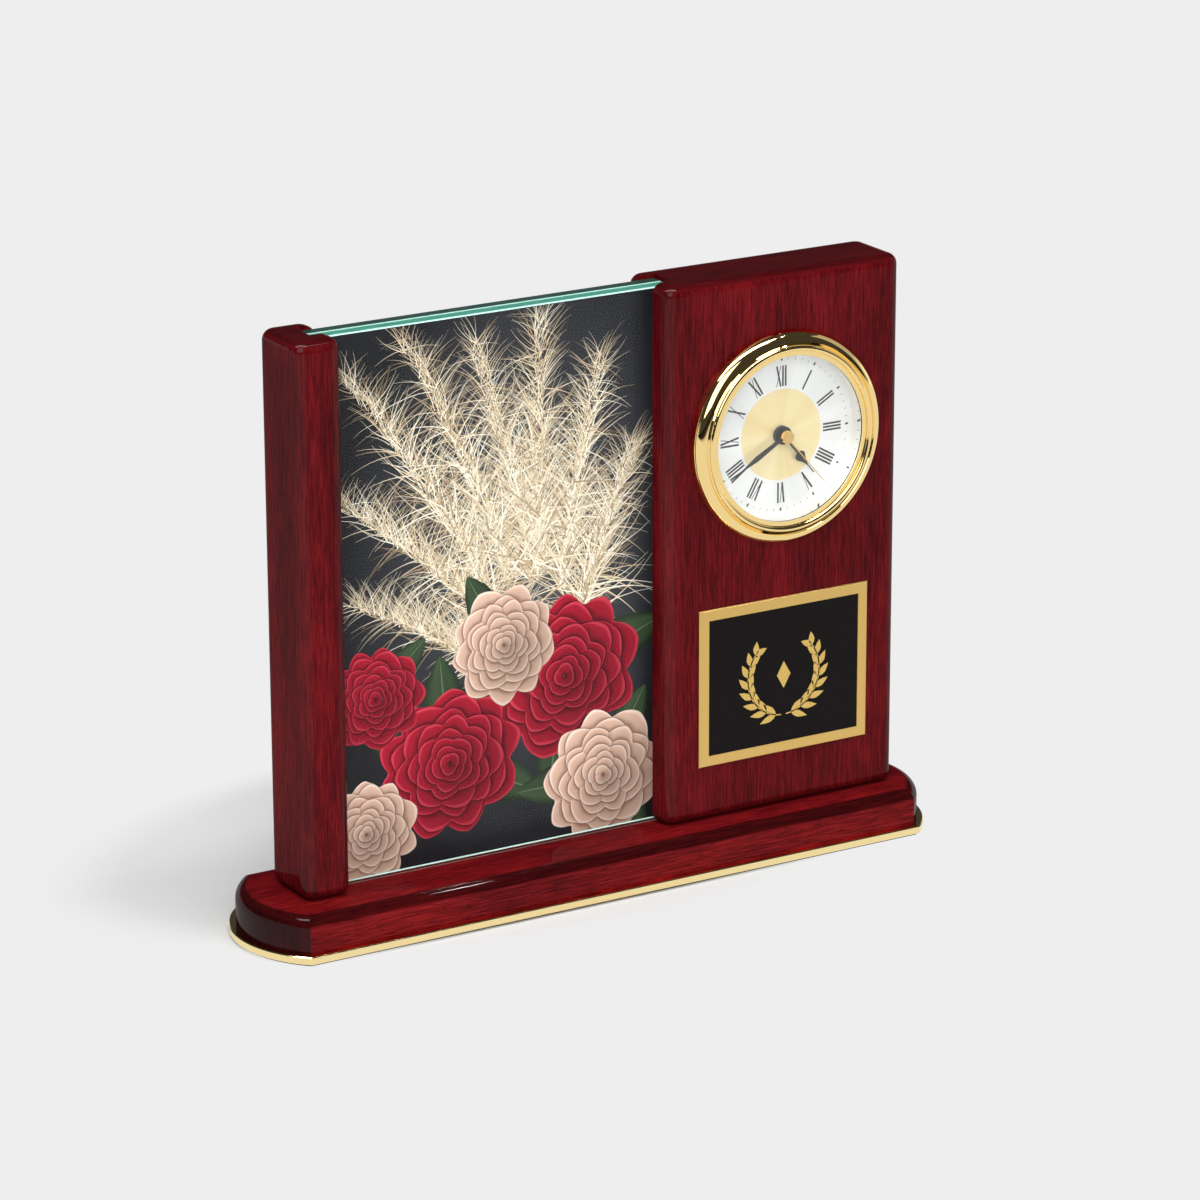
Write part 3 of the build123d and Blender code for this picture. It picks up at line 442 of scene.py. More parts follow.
def photo_paper():
    """Glossy paper: white fibre at the back and edges, a soft charcoal ground on the printed side."""
    material, tree = bare_material("photo_paper")
    glow_reach = (80 * MM, math.inf, 120 * MM)
    glow_centre = (print_middle.x + 12 * MM, 0, print_middle.z + 10 * MM)
    cloud_share, front_limit = 0.3, -0.5
    fibre = mottle(tree, (0.4 * MM,) * 3, 4.0)
    cloud = mottle(tree, (45 * MM,) * 3, 2.0)
    glow = add_node(
        tree, "ShaderNodeVectorMath", {0: cells_of(tree, glow_reach, glow_centre)}, operation="LENGTH"
    ).outputs["Value"]
    shade = add_node(
        tree, "ShaderNodeMath", {0: cloud, 1: cloud_share, 2: glow}, operation="MULTIPLY_ADD"
    ).outputs[0]
    facing = sides_of(tree, "Normal")["Y"]
    front = add_node(
        tree, "ShaderNodeMath", {0: facing, 1: front_limit}, operation="LESS_THAN"
    ).outputs[0]
    tint = add_node(
        tree,
        "ShaderNodeMix",
        {
            "Factor": front,
            "A": graded(tree, fibre, (0.2, "#e9e7e2"), (0.8, "#f6f4f0")),
            "B": graded(tree, shade, (0.15, "#55565c"), (0.6, "#35363b"), (1.0, "#1d1d21")),
        },
        data_type="RGBA",
    ).outputs["Result"]
    return surface(material, {"Base Color": tint, "Roughness": 0.35, "Specular IOR Level": 0.15})


def printed_dyes():
    """The print's dyes: each dot's colour is kept on the mesh, under the paper's soft gloss."""
    material, tree = bare_material("printed_dyes")
    dye = add_node(tree, "ShaderNodeAttribute", attribute_name="dye").outputs["Color"]
    return surface(material, {"Base Color": dye, "Roughness": 0.35, "Specular IOR Level": 0.15})


dress(photo_paper(), "photo_print")
dyes = printed_dyes()


def on_print(x, z, layer):
    """A point of the picture in millimetres from its middle, layers 0 to 1 towards the front."""
    return Vector((print_middle.x + x * MM, print_low.y - layer * ink_depth, print_middle.z + z * MM))


def growth_tree(name, **words):
    """An empty tree that grows geometry, and its inputs by the words given for each kind."""
    tree = bpy.data.node_groups.new(name, "GeometryNodeTree")
    for kind, inputs in words.items():
        for word in inputs.split():
            tree.interface.new_socket(word, in_out="INPUT", socket_type="NodeSocket" + kind)
    tree.interface.new_socket("grown", in_out="OUTPUT", socket_type="NodeSocketGeometry")
    return tree, add_node(tree, "NodeGroupInput").outputs


def put_out(tree, instances, material):
    """Ends a tree: its instances become plain mesh, wear the material and leave the tree."""
    real = add_node(tree, "GeometryNodeRealizeInstances", {0: instances}).outputs[0]
    worn = add_node(tree, "GeometryNodeSetMaterial", {"Geometry": real, "Material": material}).outputs[0]
    add_node(tree, "NodeGroupOutput", {"grown": worn})
    return tree


def grown(name, tree, base=None, **inputs):
    """The plain mesh that a tree of nodes makes from a base mesh and these named inputs."""
    holder = bpy.data.objects.new(name, base or bpy.data.meshes.new(name))
    bpy.context.scene.collection.objects.link(holder)
    modifier = holder.modifiers.new(name, "NODES")
    modifier.node_group = tree
    for item in tree.interface.items_tree:
        if item.in_out == "INPUT" and item.name in inputs:
            modifier[item.identifier] = inputs[item.name]
    holder.update_tag()
    bpy.context.view_layer.update()
    ready = holder.evaluated_get(bpy.context.evaluated_depsgraph_get())
    mesh = bpy.data.meshes.new_from_object(ready)
    bpy.data.objects.remove(holder)
    return mesh


def trimmed(mesh):
    """Cuts a printed layer off along the paper's four edges."""
    work = bmesh.new()
    work.from_mesh(mesh)
    margin = 0.2 * MM
    for corner, way in ((print_low, -1), (print_high, 1)):
        for axis in (Vector((1, 0, 0)), Vector((0, 0, 1))):
            bmesh.ops.bisect_plane(
                work,
                geom=work.verts[:] + work.edges[:] + work.faces[:],
                plane_co=corner - axis * way * margin,
                plane_no=axis * way,
                clear_outer=True,
            )
    work.to_mesh(mesh)
    work.free()
    return mesh


def plume_nodes():
    """A tree that feathers each spine with fine bent strands, shorter towards its tip."""
    tree, sizes = growth_tree(
        "grass_plumes",
        Geometry="spines",
        Int="strands seed",
        Float="strand_length strand_width spread layer_depth scatter",
        Material="dyes",
    )
    tip_length, tip_width = 0.35, 0.15
    bend_power, bend_reach = 2.2, 0.28
    straw = ((0.0, "#8f7357"), (0.35, "#d9bf9c"), (0.7, "#f3e2c8"), (1.0, "#fff8ea"))

    def chance(low, high, salt):
        """A random number for each strand."""
        seed = add_node(tree, "ShaderNodeMath", {0: sizes["seed"], 1: salt}, operation="ADD").outputs[0]
        limits = {2: low, 3: high, "Seed": seed}
        return add_node(tree, "FunctionNodeRandomValue", limits).outputs[1]

    curve = add_node(tree, "GeometryNodeMeshToCurve", {"Mesh": sizes["spines"]}).outputs[0]
    points = add_node(
        tree, "GeometryNodeResampleCurve", {"Curve": curve, "Count": sizes["strands"]}
    ).outputs[0]
    along = add_node(tree, "GeometryNodeSplineParameter").outputs["Factor"]
    tangent = add_node(
        tree,
        "ShaderNodeSeparateXYZ",
        {0: add_node(tree, "GeometryNodeInputTangent").outputs[0]},
    ).outputs
    heading = add_node(
        tree, "ShaderNodeMath", {0: tangent["Z"], 1: tangent["X"]}, operation="ARCTAN2"
    ).outputs[0]
    side = chance(-1.0, 1.0, 1.0)
    lean = add_node(
        tree, "ShaderNodeMath", {0: side, 1: sizes["spread"], 2: heading}, operation="MULTIPLY_ADD"
    ).outputs[0]
    about_y = add_node(tree, "ShaderNodeMath", {0: lean, 1: -1.0}, operation="MULTIPLY").outputs[0]
    turn = add_node(tree, "ShaderNodeCombineXYZ", {"Y": about_y}).outputs[0]
    taper = add_node(
        tree, "ShaderNodeMapRange", {"Value": along, "To Min": 1.0, "To Max": tip_length}
    ).outputs["Result"]
    tapered = add_node(
        tree, "ShaderNodeMath", {0: taper, 1: sizes["strand_length"]}, operation="MULTIPLY"
    ).outputs[0]
    length = add_node(
        tree, "ShaderNodeMath", {0: tapered, 1: chance(0.55, 1.25, 2.0)}, operation="MULTIPLY"
    ).outputs[0]
    mirror = add_node(tree, "ShaderNodeMath", {0: side}, operation="SIGN").outputs[0]
    mirrored = add_node(tree, "ShaderNodeMath", {0: length, 1: mirror}, operation="MULTIPLY").outputs[0]
    stretch = add_node(tree, "ShaderNodeCombineXYZ", {"X": length, "Y": length, "Z": mirrored}).outputs[0]
    reach = add_node(
        tree, "ShaderNodeMath", {0: sizes["scatter"], 1: chance(-1.0, 1.0, 3.0)}, operation="MULTIPLY"
    ).outputs[0]
    depth = add_node(
        tree, "ShaderNodeMath", {0: sizes["layer_depth"], 1: chance(-1.0, 0.0, 4.0)}, operation="MULTIPLY"
    ).outputs[0]
    offset = add_node(tree, "ShaderNodeCombineXYZ", {"X": reach, "Y": depth}).outputs[0]
    scattered = add_node(
        tree, "GeometryNodeSetPosition", {"Geometry": points, "Offset": offset}
    ).outputs[0]
    ribbon = add_node(
        tree,
        "GeometryNodeMeshGrid",
        {"Size X": 1.0, "Size Y": sizes["strand_width"], "Vertices X": 6, "Vertices Y": 2},
    ).outputs["Mesh"]
    flat = add_node(
        tree, "ShaderNodeSeparateXYZ", {0: add_node(tree, "GeometryNodeInputPosition").outputs[0]}
    ).outputs
    run = add_node(tree, "ShaderNodeMath", {0: flat["X"], 1: 0.5}, operation="ADD").outputs[0]
    thin = add_node(
        tree, "ShaderNodeMapRange", {"Value": run, "To Min": 1.0, "To Max": tip_width}
    ).outputs["Result"]
    thinned = add_node(tree, "ShaderNodeMath", {0: flat["Y"], 1: thin}, operation="MULTIPLY").outputs[0]
    curled = add_node(tree, "ShaderNodeMath", {0: run, 1: bend_power}, operation="POWER").outputs[0]
    bend = add_node(
        tree, "ShaderNodeMath", {0: curled, 1: bend_reach, 2: thinned}, operation="MULTIPLY_ADD"
    ).outputs[0]
    bent = add_node(tree, "ShaderNodeCombineXYZ", {"X": run, "Z": bend}).outputs[0]
    strand = add_node(tree, "GeometryNodeSetPosition", {"Geometry": ribbon, "Position": bent}).outputs[0]
    feathers = add_node(
        tree,
        "GeometryNodeInstanceOnPoints",
        {"Points": scattered, "Instance": strand, "Rotation": turn, "Scale": stretch},
    ).outputs["Instances"]
    dyed = add_node(
        tree,
        "GeometryNodeStoreNamedAttribute",
        {"Geometry": feathers, "Name": "dye", "Value": graded(tree, chance(0.0, 1.0, 5.0), *straw)},
        data_type="FLOAT_COLOR",
        domain="INSTANCE",
    ).outputs[0]
    return put_out(tree, dyed, sizes["dyes"])


def fill_spines(work):
    """The stems' feathered ends: arcs that fan out from the lower right of the picture."""
    tips = ((-50, 74), (-30, 84), (-6, 80), (18, 85), (40, 70), (53, 40), (-54, 36), (-50, 2))
    first_foot, foot_gap, foot_z = 16, 2, -60
    bare_share, steps = 0.42, 12
    bow, layer = 1.35, 0.02
    for number, (tip_x, tip_z) in enumerate(tips):
        foot_x = first_foot + foot_gap * number
        sway = 4.0 if tip_x < 0 else -3.2
        spine = []
        for step in range(steps + 1):
            t = bare_share + (1 - bare_share) * step / steps
            x = foot_x + (tip_x - foot_x) * t ** bow + sway * math.sin(math.pi * t)
            z = foot_z + (tip_z - foot_z) * t
            spine.append(work.verts.new(on_print(x, z, layer)))
        for a, b in zip(spine, spine[1:]):
            work.edges.new((a, b))


plume_mesh = grown(
    "print_plumes",
    plume_nodes(),
    base=mesh_from("plume_spines", fill_spines, closed=False),
    strands=430,
    strand_length=26 * MM,
    strand_width=0.022,
    spread=0.62,
    layer_depth=0.28 * ink_depth,
    scatter=2.2 * MM,
    seed=11,
    dyes=dyes,
)
new_piece("print_plumes", trimmed(plume_mesh), dyes, "photo_print")


def fill_blooms(work):
    """Open garden flowers: each ring of petals is a band between its own rim and the ring above.

    A flower is its place, radius, three tints from deep to pale, and turn. Its other sizes are
    shares of that radius. A leaf's columns and a band's rows are each a place, the number of a
    tint and its brightness. Every leaf and flower has its own layer, so no two lie in one plane.
    """
    dye = work.verts.layers.float_color.new("dye")
    crimson = ("#4a0714", "#a8142c", "#e04259")
    blush = ("#a06a58", "#e8bda8", "#ffeadd")
    flowers = (
        (26, -34, 27, crimson, 0.3),
        (-16, -56, 25, crimson, 1.1),
        (-42, -30, 17, crimson, 2.0),
        (4, -20, 19, blush, 0.7),
        (40, -70, 22, blush, 1.7),
        (-46, -74, 18, blush, 0.2),
    )
    flower_layer, flower_layer_gap = 0.62, 0.07
    leaf_layer, leaf_layer_gap = 0.34, 0.012
    leaf_tints = ("#1d261b", "#3b4c34", "#64775a")
    leaf_count, leaf_steps = 3, 8
    first_leaf, leaf_gap = 0.9, 2.1
    leaf_foot, leaf_length, leaf_half, leaf_jag = 0.6, 0.85, 0.3, 0.06
    swell_from, swell_run, swell_power = 0.42, 0.575, 0.8
    foot_shade, shade_gain = 0.75, 0.05
    left_columns = ((-1, 0, 1.3), (-0.5, 1, 1.15), (-0.07, 1, 0.9), (0, 2, 1.1))
    leaf_columns = left_columns + ((0.07, 1, 0.8), (0.5, 1, 0.9), (1, 0, 1.1))
    petal_counts = (9, 8, 8, 7, 6, 5, 4, 3)
    ring_reach = (1.0, 0.87, 0.74, 0.61, 0.48, 0.36, 0.25, 0.15)
    band_rows = ((0.0, 0, 0.8), (0.35, 1, 0.85), (0.75, 1, 1.05), (0.93, 2, 1.0), (1.0, 1, 0.8))
    around = 120
    heart, least_band = 0.01, 0.004
    drift, flutter, stagger = 0.09, 0.06, 0.31
    rim_notch, rim_tip, rim_wave = 0.17, 0.03, 0.04
    seam_shadow, shadow_reach, seam_light, light_reach = 0.42, 0.14, 0.1, 0.1
    even_light, side_light, light_side, ring_dim = 0.86, 0.18, 0.8, 0.03

    def dot(x, z, layer, tint, shade):
        """A point of the print with its dye."""
        point = work.verts.new(on_print(x, z, layer))
        point[dye] = [min(1.0, c * shade) for c in hex_colour(tint)[:3]] + [1.0]
        return point

    def weave(grid):
        """Faces between neighbouring rows of points."""
        for inner, outer in zip(grid, grid[1:]):
            for i in range(len(inner) - 1):
                work.faces.new((inner[i + 1], inner[i], outer[i], outer[i + 1]))

    def leaf_row(x, z, radius, angle, step, layer):
        """One row of points across a leaf that grows from a flower at this angle."""
        along, beside = (math.sin(angle), math.cos(angle)), (math.cos(angle), -math.sin(angle))
        out = radius * (leaf_foot + leaf_length * step / leaf_steps)
        swell = math.sin(math.pi * (swell_from + swell_run * step / leaf_steps)) ** swell_power
        half = leaf_half * radius * swell
        jag = 1 + leaf_jag * (step % 2)
        return [
            dot(
                x + out * along[0] + half * t * jag * beside[0],
                z + out * along[1] + half * t * jag * beside[1],
                layer,
                leaf_tints[tint],
                shade * (foot_shade + shade_gain * step),
            )
            for t, tint, shade in leaf_columns
        ]

    def across_petal(ring, number, turn):
        """Where a direction falls across its petal, from -1 at one seam to 1 at the next."""
        uneven = turn + drift * math.sin(turn + 2 * ring + number) + flutter * math.sin(3 * turn + ring)
        return 2 * ((petal_counts[ring] * (uneven / math.tau + stagger * ring)) % 1) - 1

    turns = [math.tau * (k % around) / around for k in range(around + 1)]
    for number, (x, z, radius, tints, start) in enumerate(flowers):
        for i in range(leaf_count):
            angle = start + leaf_gap * i + first_leaf
            layer = leaf_layer + leaf_layer_gap * (leaf_count * number + i)
            weave([leaf_row(x, z, radius, angle, step, layer) for step in range(leaf_steps + 1)])
        layer = flower_layer + flower_layer_gap * number
        rim = [heart * radius] * (around + 1)
        for ring in reversed(range(len(petal_counts))):
            inner_rim = rim
            rim = []
            for turn, inner in zip(turns, inner_rim):
                t = across_petal(ring, number, turn)
                scallop = 1 - rim_notch * t * t + rim_tip * (1 - abs(t)) ** 3
                wave = 1 + rim_wave * math.sin(2 * turn + 3 * ring + number)
                outer = radius * ring_reach[ring] * scallop * wave
                rim.append(max(outer, inner + least_band * radius))
            grid = []
            for share, tint, gain in band_rows:
                row = []
                for turn, inner, outer in zip(turns, inner_rim, rim):
                    t = across_petal(ring, number, turn)
                    out = inner + (outer - inner) * share
                    seam = 1 - seam_shadow * math.exp(-(1 + t) / shadow_reach)
                    seam += seam_light * math.exp(-(1 - t) / light_reach)
                    lit = even_light + side_light * math.cos(turn + start + light_side) - ring_dim * ring
                    place = x + out * math.sin(turn + start), z + out * math.cos(turn + start)
                    row.append(dot(*place, layer, tints[tint], gain * seam * lit))
                grid.append(row)
            weave(grid)


bloom_mesh = mesh_from("print_blooms", fill_blooms, closed=False)
new_piece("print_blooms", trimmed(bloom_mesh), dyes, "photo_print")

# Name plate: brass plated in satin gold, with a sunk field of black enamel inside a plain rim. It
# is glued flat to the panel, and the ornament on its field is gilded.
plate_low, plate_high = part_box("name_plate")
plate_middle = (plate_low + plate_high) / 2
plate_rim = 3.6 * MM
plate_field = plate_low.y + 0.12 * MM


def name_plate_finish():
    """Satin gold rim and a black enamelled field, told apart by how far in from the edge they lie."""
    material, tree = bare_material("satin_gold_and_black_enamel")
    half = (plate_high - plate_low) / 2
    rim_starts = 0.999
    place = add_node(
        tree,
        "ShaderNodeSeparateXYZ",
        {0: cells_of(tree, (half.x - plate_rim, math.inf, half.z - plate_rim), plate_middle)},
    ).outputs
    across, up = (
        add_node(tree, "ShaderNodeMath", {0: place[axis]}, operation="ABSOLUTE").outputs[0]
        for axis in "XZ"
    )
    far = add_node(tree, "ShaderNodeMath", {0: across, 1: up}, operation="MAXIMUM").outputs[0]
    on_rim = add_node(
        tree, "ShaderNodeMath", {0: far, 1: rim_starts}, operation="GREATER_THAN"
    ).outputs[0]
    grain = mottle(tree, (0.25 * MM,) * 3, 3.0)
    satin = add_node(
        tree, "ShaderNodeMapRange", {"Value": grain, "To Min": 0.26, "To Max": 0.46}
    ).outputs["Result"]
    gold = add_node(
        tree,
        "ShaderNodeBsdfPrincipled",
        {"Base Color": hex_colour("#f0c878"), "Metallic": 1.0, "Roughness": satin},
    )
    enamel = add_node(
        tree,
        "ShaderNodeBsdfPrincipled",
        {
            "Base Color": graded(tree, grain, (0.2, "#0e0c0c"), (0.8, "#151211")),
            "Roughness": 0.3,
            "Specular IOR Level": 0.08,
        },
    )
    return surface(
        material,
        add_node(tree, "ShaderNodeMixShader", {0: on_rim, 1: enamel.outputs[0], 2: gold.outputs[0]}),
    )


dress(name_plate_finish(), "name_plate")


def fill_sprigs(work):
    """Two laurel sprigs that curve up round a lozenge: flat gilding on the black field."""
    wreath_radius, stalk_width, stalk_steps = 13.6, 0.4, 22
    stalk_starts, stalk_step = -86, 5.6
    leaf_pairs, leaf_leans = 8, (-0.55, 0.5)
    first_leaf, leaf_gap = -78, 16.5
    longest_leaf, leaf_taper, leaf_width = 6.6, 0.28, 2.3
    lozenge_x, lozenge_z = 2.6, 4.6
    half_leaf = ((0.0, 0.0), (0.2, 0.36), (0.45, 0.5), (0.72, 0.32), (1.0, 0.0))
    leaf = half_leaf + tuple((t, -w) for t, w in half_leaf[-2:0:-1])

    def gild(side, points):
        """One shape from points in millimetres, anticlockwise on the right sprig, else mirrored."""
        ring = points if side > 0 else [(-x, z) for x, z in reversed(points)]
        work.faces.new(
            [
                work.verts.new((plate_middle.x + x * MM, plate_field, plate_middle.z + z * MM))
                for x, z in ring
            ]
        )

    for side in (-1, 1):
        for step in range(leaf_pairs):
            turn = math.radians(first_leaf + leaf_gap * step)
            x, z = wreath_radius * math.cos(turn), wreath_radius * math.sin(turn)
            length = longest_leaf - leaf_taper * step
            for lean in leaf_leans:
                heading = turn + math.radians(90) + lean
                cos, sin = math.cos(heading), math.sin(heading)
                run = [(length * t, leaf_width * w) for t, w in leaf]
                gild(side, [(x + cos * a + sin * b, z + sin * a - cos * b) for a, b in run])
        for step in range(stalk_steps):
            low, high = (math.radians(stalk_starts + stalk_step * (step + k)) for k in (0, 1))
            inner, outer = wreath_radius - stalk_width / 2, wreath_radius + stalk_width / 2
            corners = ((inner, low), (outer, low), (outer, high), (inner, high))
            gild(side, [(r * math.cos(a), r * math.sin(a)) for r, a in corners])
    gild(1, [(0, -lozenge_z), (lozenge_x, 0), (0, lozenge_z), (-lozenge_x, 0)])


def gold_leaf():
    """Thin burnished gilding: warm and satin, with a slight unevenness."""
    material, tree = bare_material("gold_leaf")
    tint = graded(tree, mottle(tree, (0.6 * MM,) * 3, 4.0), (0.3, "#eec25f"), (0.7, "#fad98a"))
    return surface(material, {"Base Color": tint, "Metallic": 1.0, "Roughness": 0.35})


sprig_mesh = mesh_from("laurel_sprigs", fill_sprigs, closed=False)
new_piece("laurel_sprigs", sprig_mesh, gold_leaf(), "frame")

# Clock insert, its bezel: turned brass, plated gold and buffed to a mirror. Crystal, dial and can
# are pushed into the collar behind it. Its flange covers the hole in the panel, and its steps
# catch the lights as bright rings.
dress(polished_gold("polished_bezel_gold", "#ffe09a", 0.03, 0.06), "bezel")

# Crystal: a flat disc of mineral glass, held in the collar behind the bezel's lip. It keeps dust
# off the hands.


def clear_crystal():
    """Mineral glass: clear, with a sharp, faint reflection."""
    material, tree = bare_material("mineral_glass")
    glass = add_node(
        tree,
        "ShaderNodeBsdfPrincipled",
        {
            "Base Color": hex_colour("#ffffff"),
            "Roughness": 0.0,
            "IOR": 1.5,
            "Transmission Weight": 1.0,
        },
    )
    return surface(material, lit_through(tree, glass, "#fbfdfc"))


dress(clear_crystal(), "crystal")

# Dial and its ring: an aluminium disc, spun bright at the rim and gilt in the middle, printed in
# black with numerals and a minute track. A polished ring stands between dial and crystal.
dial_low, dial_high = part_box("dial")
clock = Vector(((dial_low.x + dial_high.x) / 2, dial_low.y, (dial_low.z + dial_high.z) / 2))
gilt_radius = 15.05 * MM
numeral_foot, numeral_head = 15.9 * MM, 22.7 * MM
track_radius = 24.9 * MM
ink_film = Vector((0, 0.03 * MM, 0))


def spun_dial():
    """Spun metal, silver and then gilt: faint radial streaks of sheen from the centre are painted
    into its tint, and they also make its roughness uneven.
    """
    material, tree = bare_material("spun_silver_and_gilt")
    place = cells_of(tree, (1.0, math.inf, 1.0), clock)
    radius = add_node(tree, "ShaderNodeVectorMath", {0: place}, operation="LENGTH").outputs["Value"]
    on_silver = add_node(
        tree, "ShaderNodeMath", {0: radius, 1: gilt_radius}, operation="GREATER_THAN"
    ).outputs[0]
    outward = add_node(tree, "ShaderNodeVectorMath", {0: place}, operation="NORMALIZE").outputs[0]
    sheen_ray = add_node(
        tree, "ShaderNodeTexNoise", {"Vector": outward, "Scale": 1.2, "Detail": 3.0}
    ).outputs["Fac"]
    # Painted sheen: the radial streaks lighten and darken the tint.
    tint = add_node(
        tree,
        "ShaderNodeMix",
        {
            "Factor": on_silver,
            "A": graded(tree, sheen_ray, (0.3, "#edd394"), (0.7, "#fcebbc")),
            "B": graded(tree, sheen_ray, (0.3, "#e6e6e6"), (0.7, "#fbfbfa")),
        },
        data_type="RGBA",
    ).outputs["Result"]
    lustre = add_node(
        tree, "ShaderNodeMapRange", {"Value": sheen_ray, "To Min": 0.28, "To Max": 0.42}
    ).outputs["Result"]
    return surface(material, {"Base Color": tint, "Metallic": 0.25, "Roughness": lustre})


dress(spun_dial(), "dial")
dress(plated_steel("polished_aluminium", "#eeeae2", 0.08), "dial_ring")


def printed_ink():
    """Dial ink: a raised film of black, nearly matt."""
    material, tree = bare_material("dial_ink")
    tint = graded(tree, mottle(tree, (0.1 * MM,) * 3, 2.0), (0.2, "#0b0a0a"), (0.8, "#191716"))
    return surface(material, {"Base Color": tint, "Roughness": 0.5})


dial_ink = printed_ink()


def on_dial(angle, across, out):
    """A point of the dial's face: clockwise angle from twelve, then across and outwards."""
    outward = Vector((math.sin(angle), 0, math.cos(angle)))
    sideways = Vector((math.cos(angle), 0, -math.sin(angle)))
    return clock + sideways * across + outward * out


def fill_numerals(work):
    """Radial numerals from thick and thin strokes, each drawn foot to head."""
    stroke, hairline, slant_inset = 0.62 * MM, 0.24 * MM, 0.3 * MM
    widths = {"I": 1.05 * MM, "V": 2.0 * MM, "X": 2.1 * MM}
    texts = ("XII", "I", "II", "III", "IIII", "V", "VI", "VII", "VIII", "IX", "X", "XI")

    def bar(angle, foot, head, width):
        """One flat stroke from its place at the foot to its place at the head."""
        corners = (
            (foot - width / 2, numeral_foot),
            (foot + width / 2, numeral_foot),
            (head + width / 2, numeral_head),
            (head - width / 2, numeral_head),
        )
        work.faces.new([work.verts.new(on_dial(angle, x, r) - ink_film) for x, r in corners])

    for hour, text in enumerate(texts):
        angle = math.radians(30 * hour)
        left = -sum(widths[c] for c in text) / 2
        for letter in text:
            width = widths[letter]
            middle = left + width / 2
            lean = width / 2 - slant_inset
            if letter == "I":
                bar(angle, middle, middle, stroke)
            elif letter == "V":
                bar(angle, middle, middle - lean, stroke)
                bar(angle, middle, middle + lean, hairline)
            else:
                bar(angle, middle + lean, middle - lean, stroke)
                bar(angle, middle - lean, middle + lean, hairline)
            left += width


numeral_mesh = mesh_from("dial_numerals", fill_numerals, closed=False)
new_piece("dial_numerals", numeral_mesh, dial_ink, "clock_insert")


def minute_track_nodes():
    """A tree that sets sixty ticks round the dial, with a heavy one at each fifth minute."""
    tree, sizes = growth_tree(
        "minute_track",
        Float="radius tick_length tick_width mark_length mark_width",
        Vector="place",
        Material="ink",
    )
    minutes, apart = 60, 5.0
    ring = add_node(
        tree, "GeometryNodeMeshCircle", {"Vertices": minutes, "Radius": sizes["radius"]}
    ).outputs["Mesh"]
    minute = add_node(tree, "GeometryNodeInputIndex").outputs[0]
    turn = add_node(
        tree, "ShaderNodeMath", {0: minute, 1: math.tau / minutes}, operation="MULTIPLY"
    ).outputs[0]
    facing = add_node(tree, "ShaderNodeCombineXYZ", {"Z": turn}).outputs[0]
    past_fifth = add_node(tree, "ShaderNodeMath", {0: minute, 1: apart}, operation="MODULO").outputs[0]
    fifth = add_node(tree, "ShaderNodeMath", {0: past_fifth, 1: 0.5}, operation="LESS_THAN").outputs[0]
    between = add_node(tree, "ShaderNodeMath", {0: 1.0, 1: fifth}, operation="SUBTRACT").outputs[0]
    joined = add_node(tree, "GeometryNodeJoinGeometry")
    for chosen, form in ((fifth, "mark"), (between, "tick")):
        bar = add_node(
            tree,
            "GeometryNodeMeshGrid",
            {
                "Size X": sizes[form + "_length"],
                "Size Y": sizes[form + "_width"],
                "Vertices X": 2,
                "Vertices Y": 2,
            },
        ).outputs["Mesh"]
        bars = add_node(
            tree,
            "GeometryNodeInstanceOnPoints",
            {"Points": ring, "Selection": chosen, "Instance": bar, "Rotation": facing},
        ).outputs["Instances"]
        tree.links.new(bars, joined.inputs[0])
    stood = add_node(
        tree,
        "GeometryNodeTransform",
        {
            "Geometry": joined.outputs[0],
            "Translation": sizes["place"],
            "Rotation": (math.radians(90), 0, 0),
        },
    ).outputs[0]
    return put_out(tree, stood, sizes["ink"])


track_mesh = grown(
    "minute_track",
    minute_track_nodes(),
    radius=track_radius,
    tick_length=0.8 * MM,
    tick_width=0.12 * MM,
    mark_length=1.1 * MM,
    mark_width=0.6 * MM,
    place=clock - ink_film,
    ink=dial_ink,
)
new_piece("minute_track", track_mesh, dial_ink, "clock_insert")

# Can, hatch and setting knob: the insert's back, moulded in black ABS with a fine spark-eroded
# texture. The can holds the movement, and a ribbed rubber band round it grips the panel's hole.


def moulded_plastic(name, dark, light, rough, grit):
    """Moulded plastic: one colour with a soft sheen broken by the mould's fine grit."""
    material, tree = bare_material(name)
    texture = mottle(tree, (grit,) * 3, 3.0)
    relief = add_node(
        tree, "ShaderNodeBump", {"Height": texture, "Distance": 0.1 * grit, "Strength": 0.5}
    )
    sheen = add_node(
        tree, "ShaderNodeMapRange", {"Value": texture, "To Min": 0.8 * rough, "To Max": 1.2 * rough}
    )
    return surface(
        material,
        {
            "Base Color": graded(tree, texture, (0.25, dark), (0.75, light)),
            "Roughness": sheen.outputs["Result"],
            "Normal": relief.outputs["Normal"],
        },
    )


black_abs = moulded_plastic("black_abs", "#121214", "#1d1d20", 0.45, 0.35 * MM)
dress(black_abs, "insert_cup", "battery_hatch", "setting_knob")
dress(moulded_plastic("grey_rubber", "#5c5c5c", "#6e6d6b", 0.7, 0.3 * MM), "grip_band")

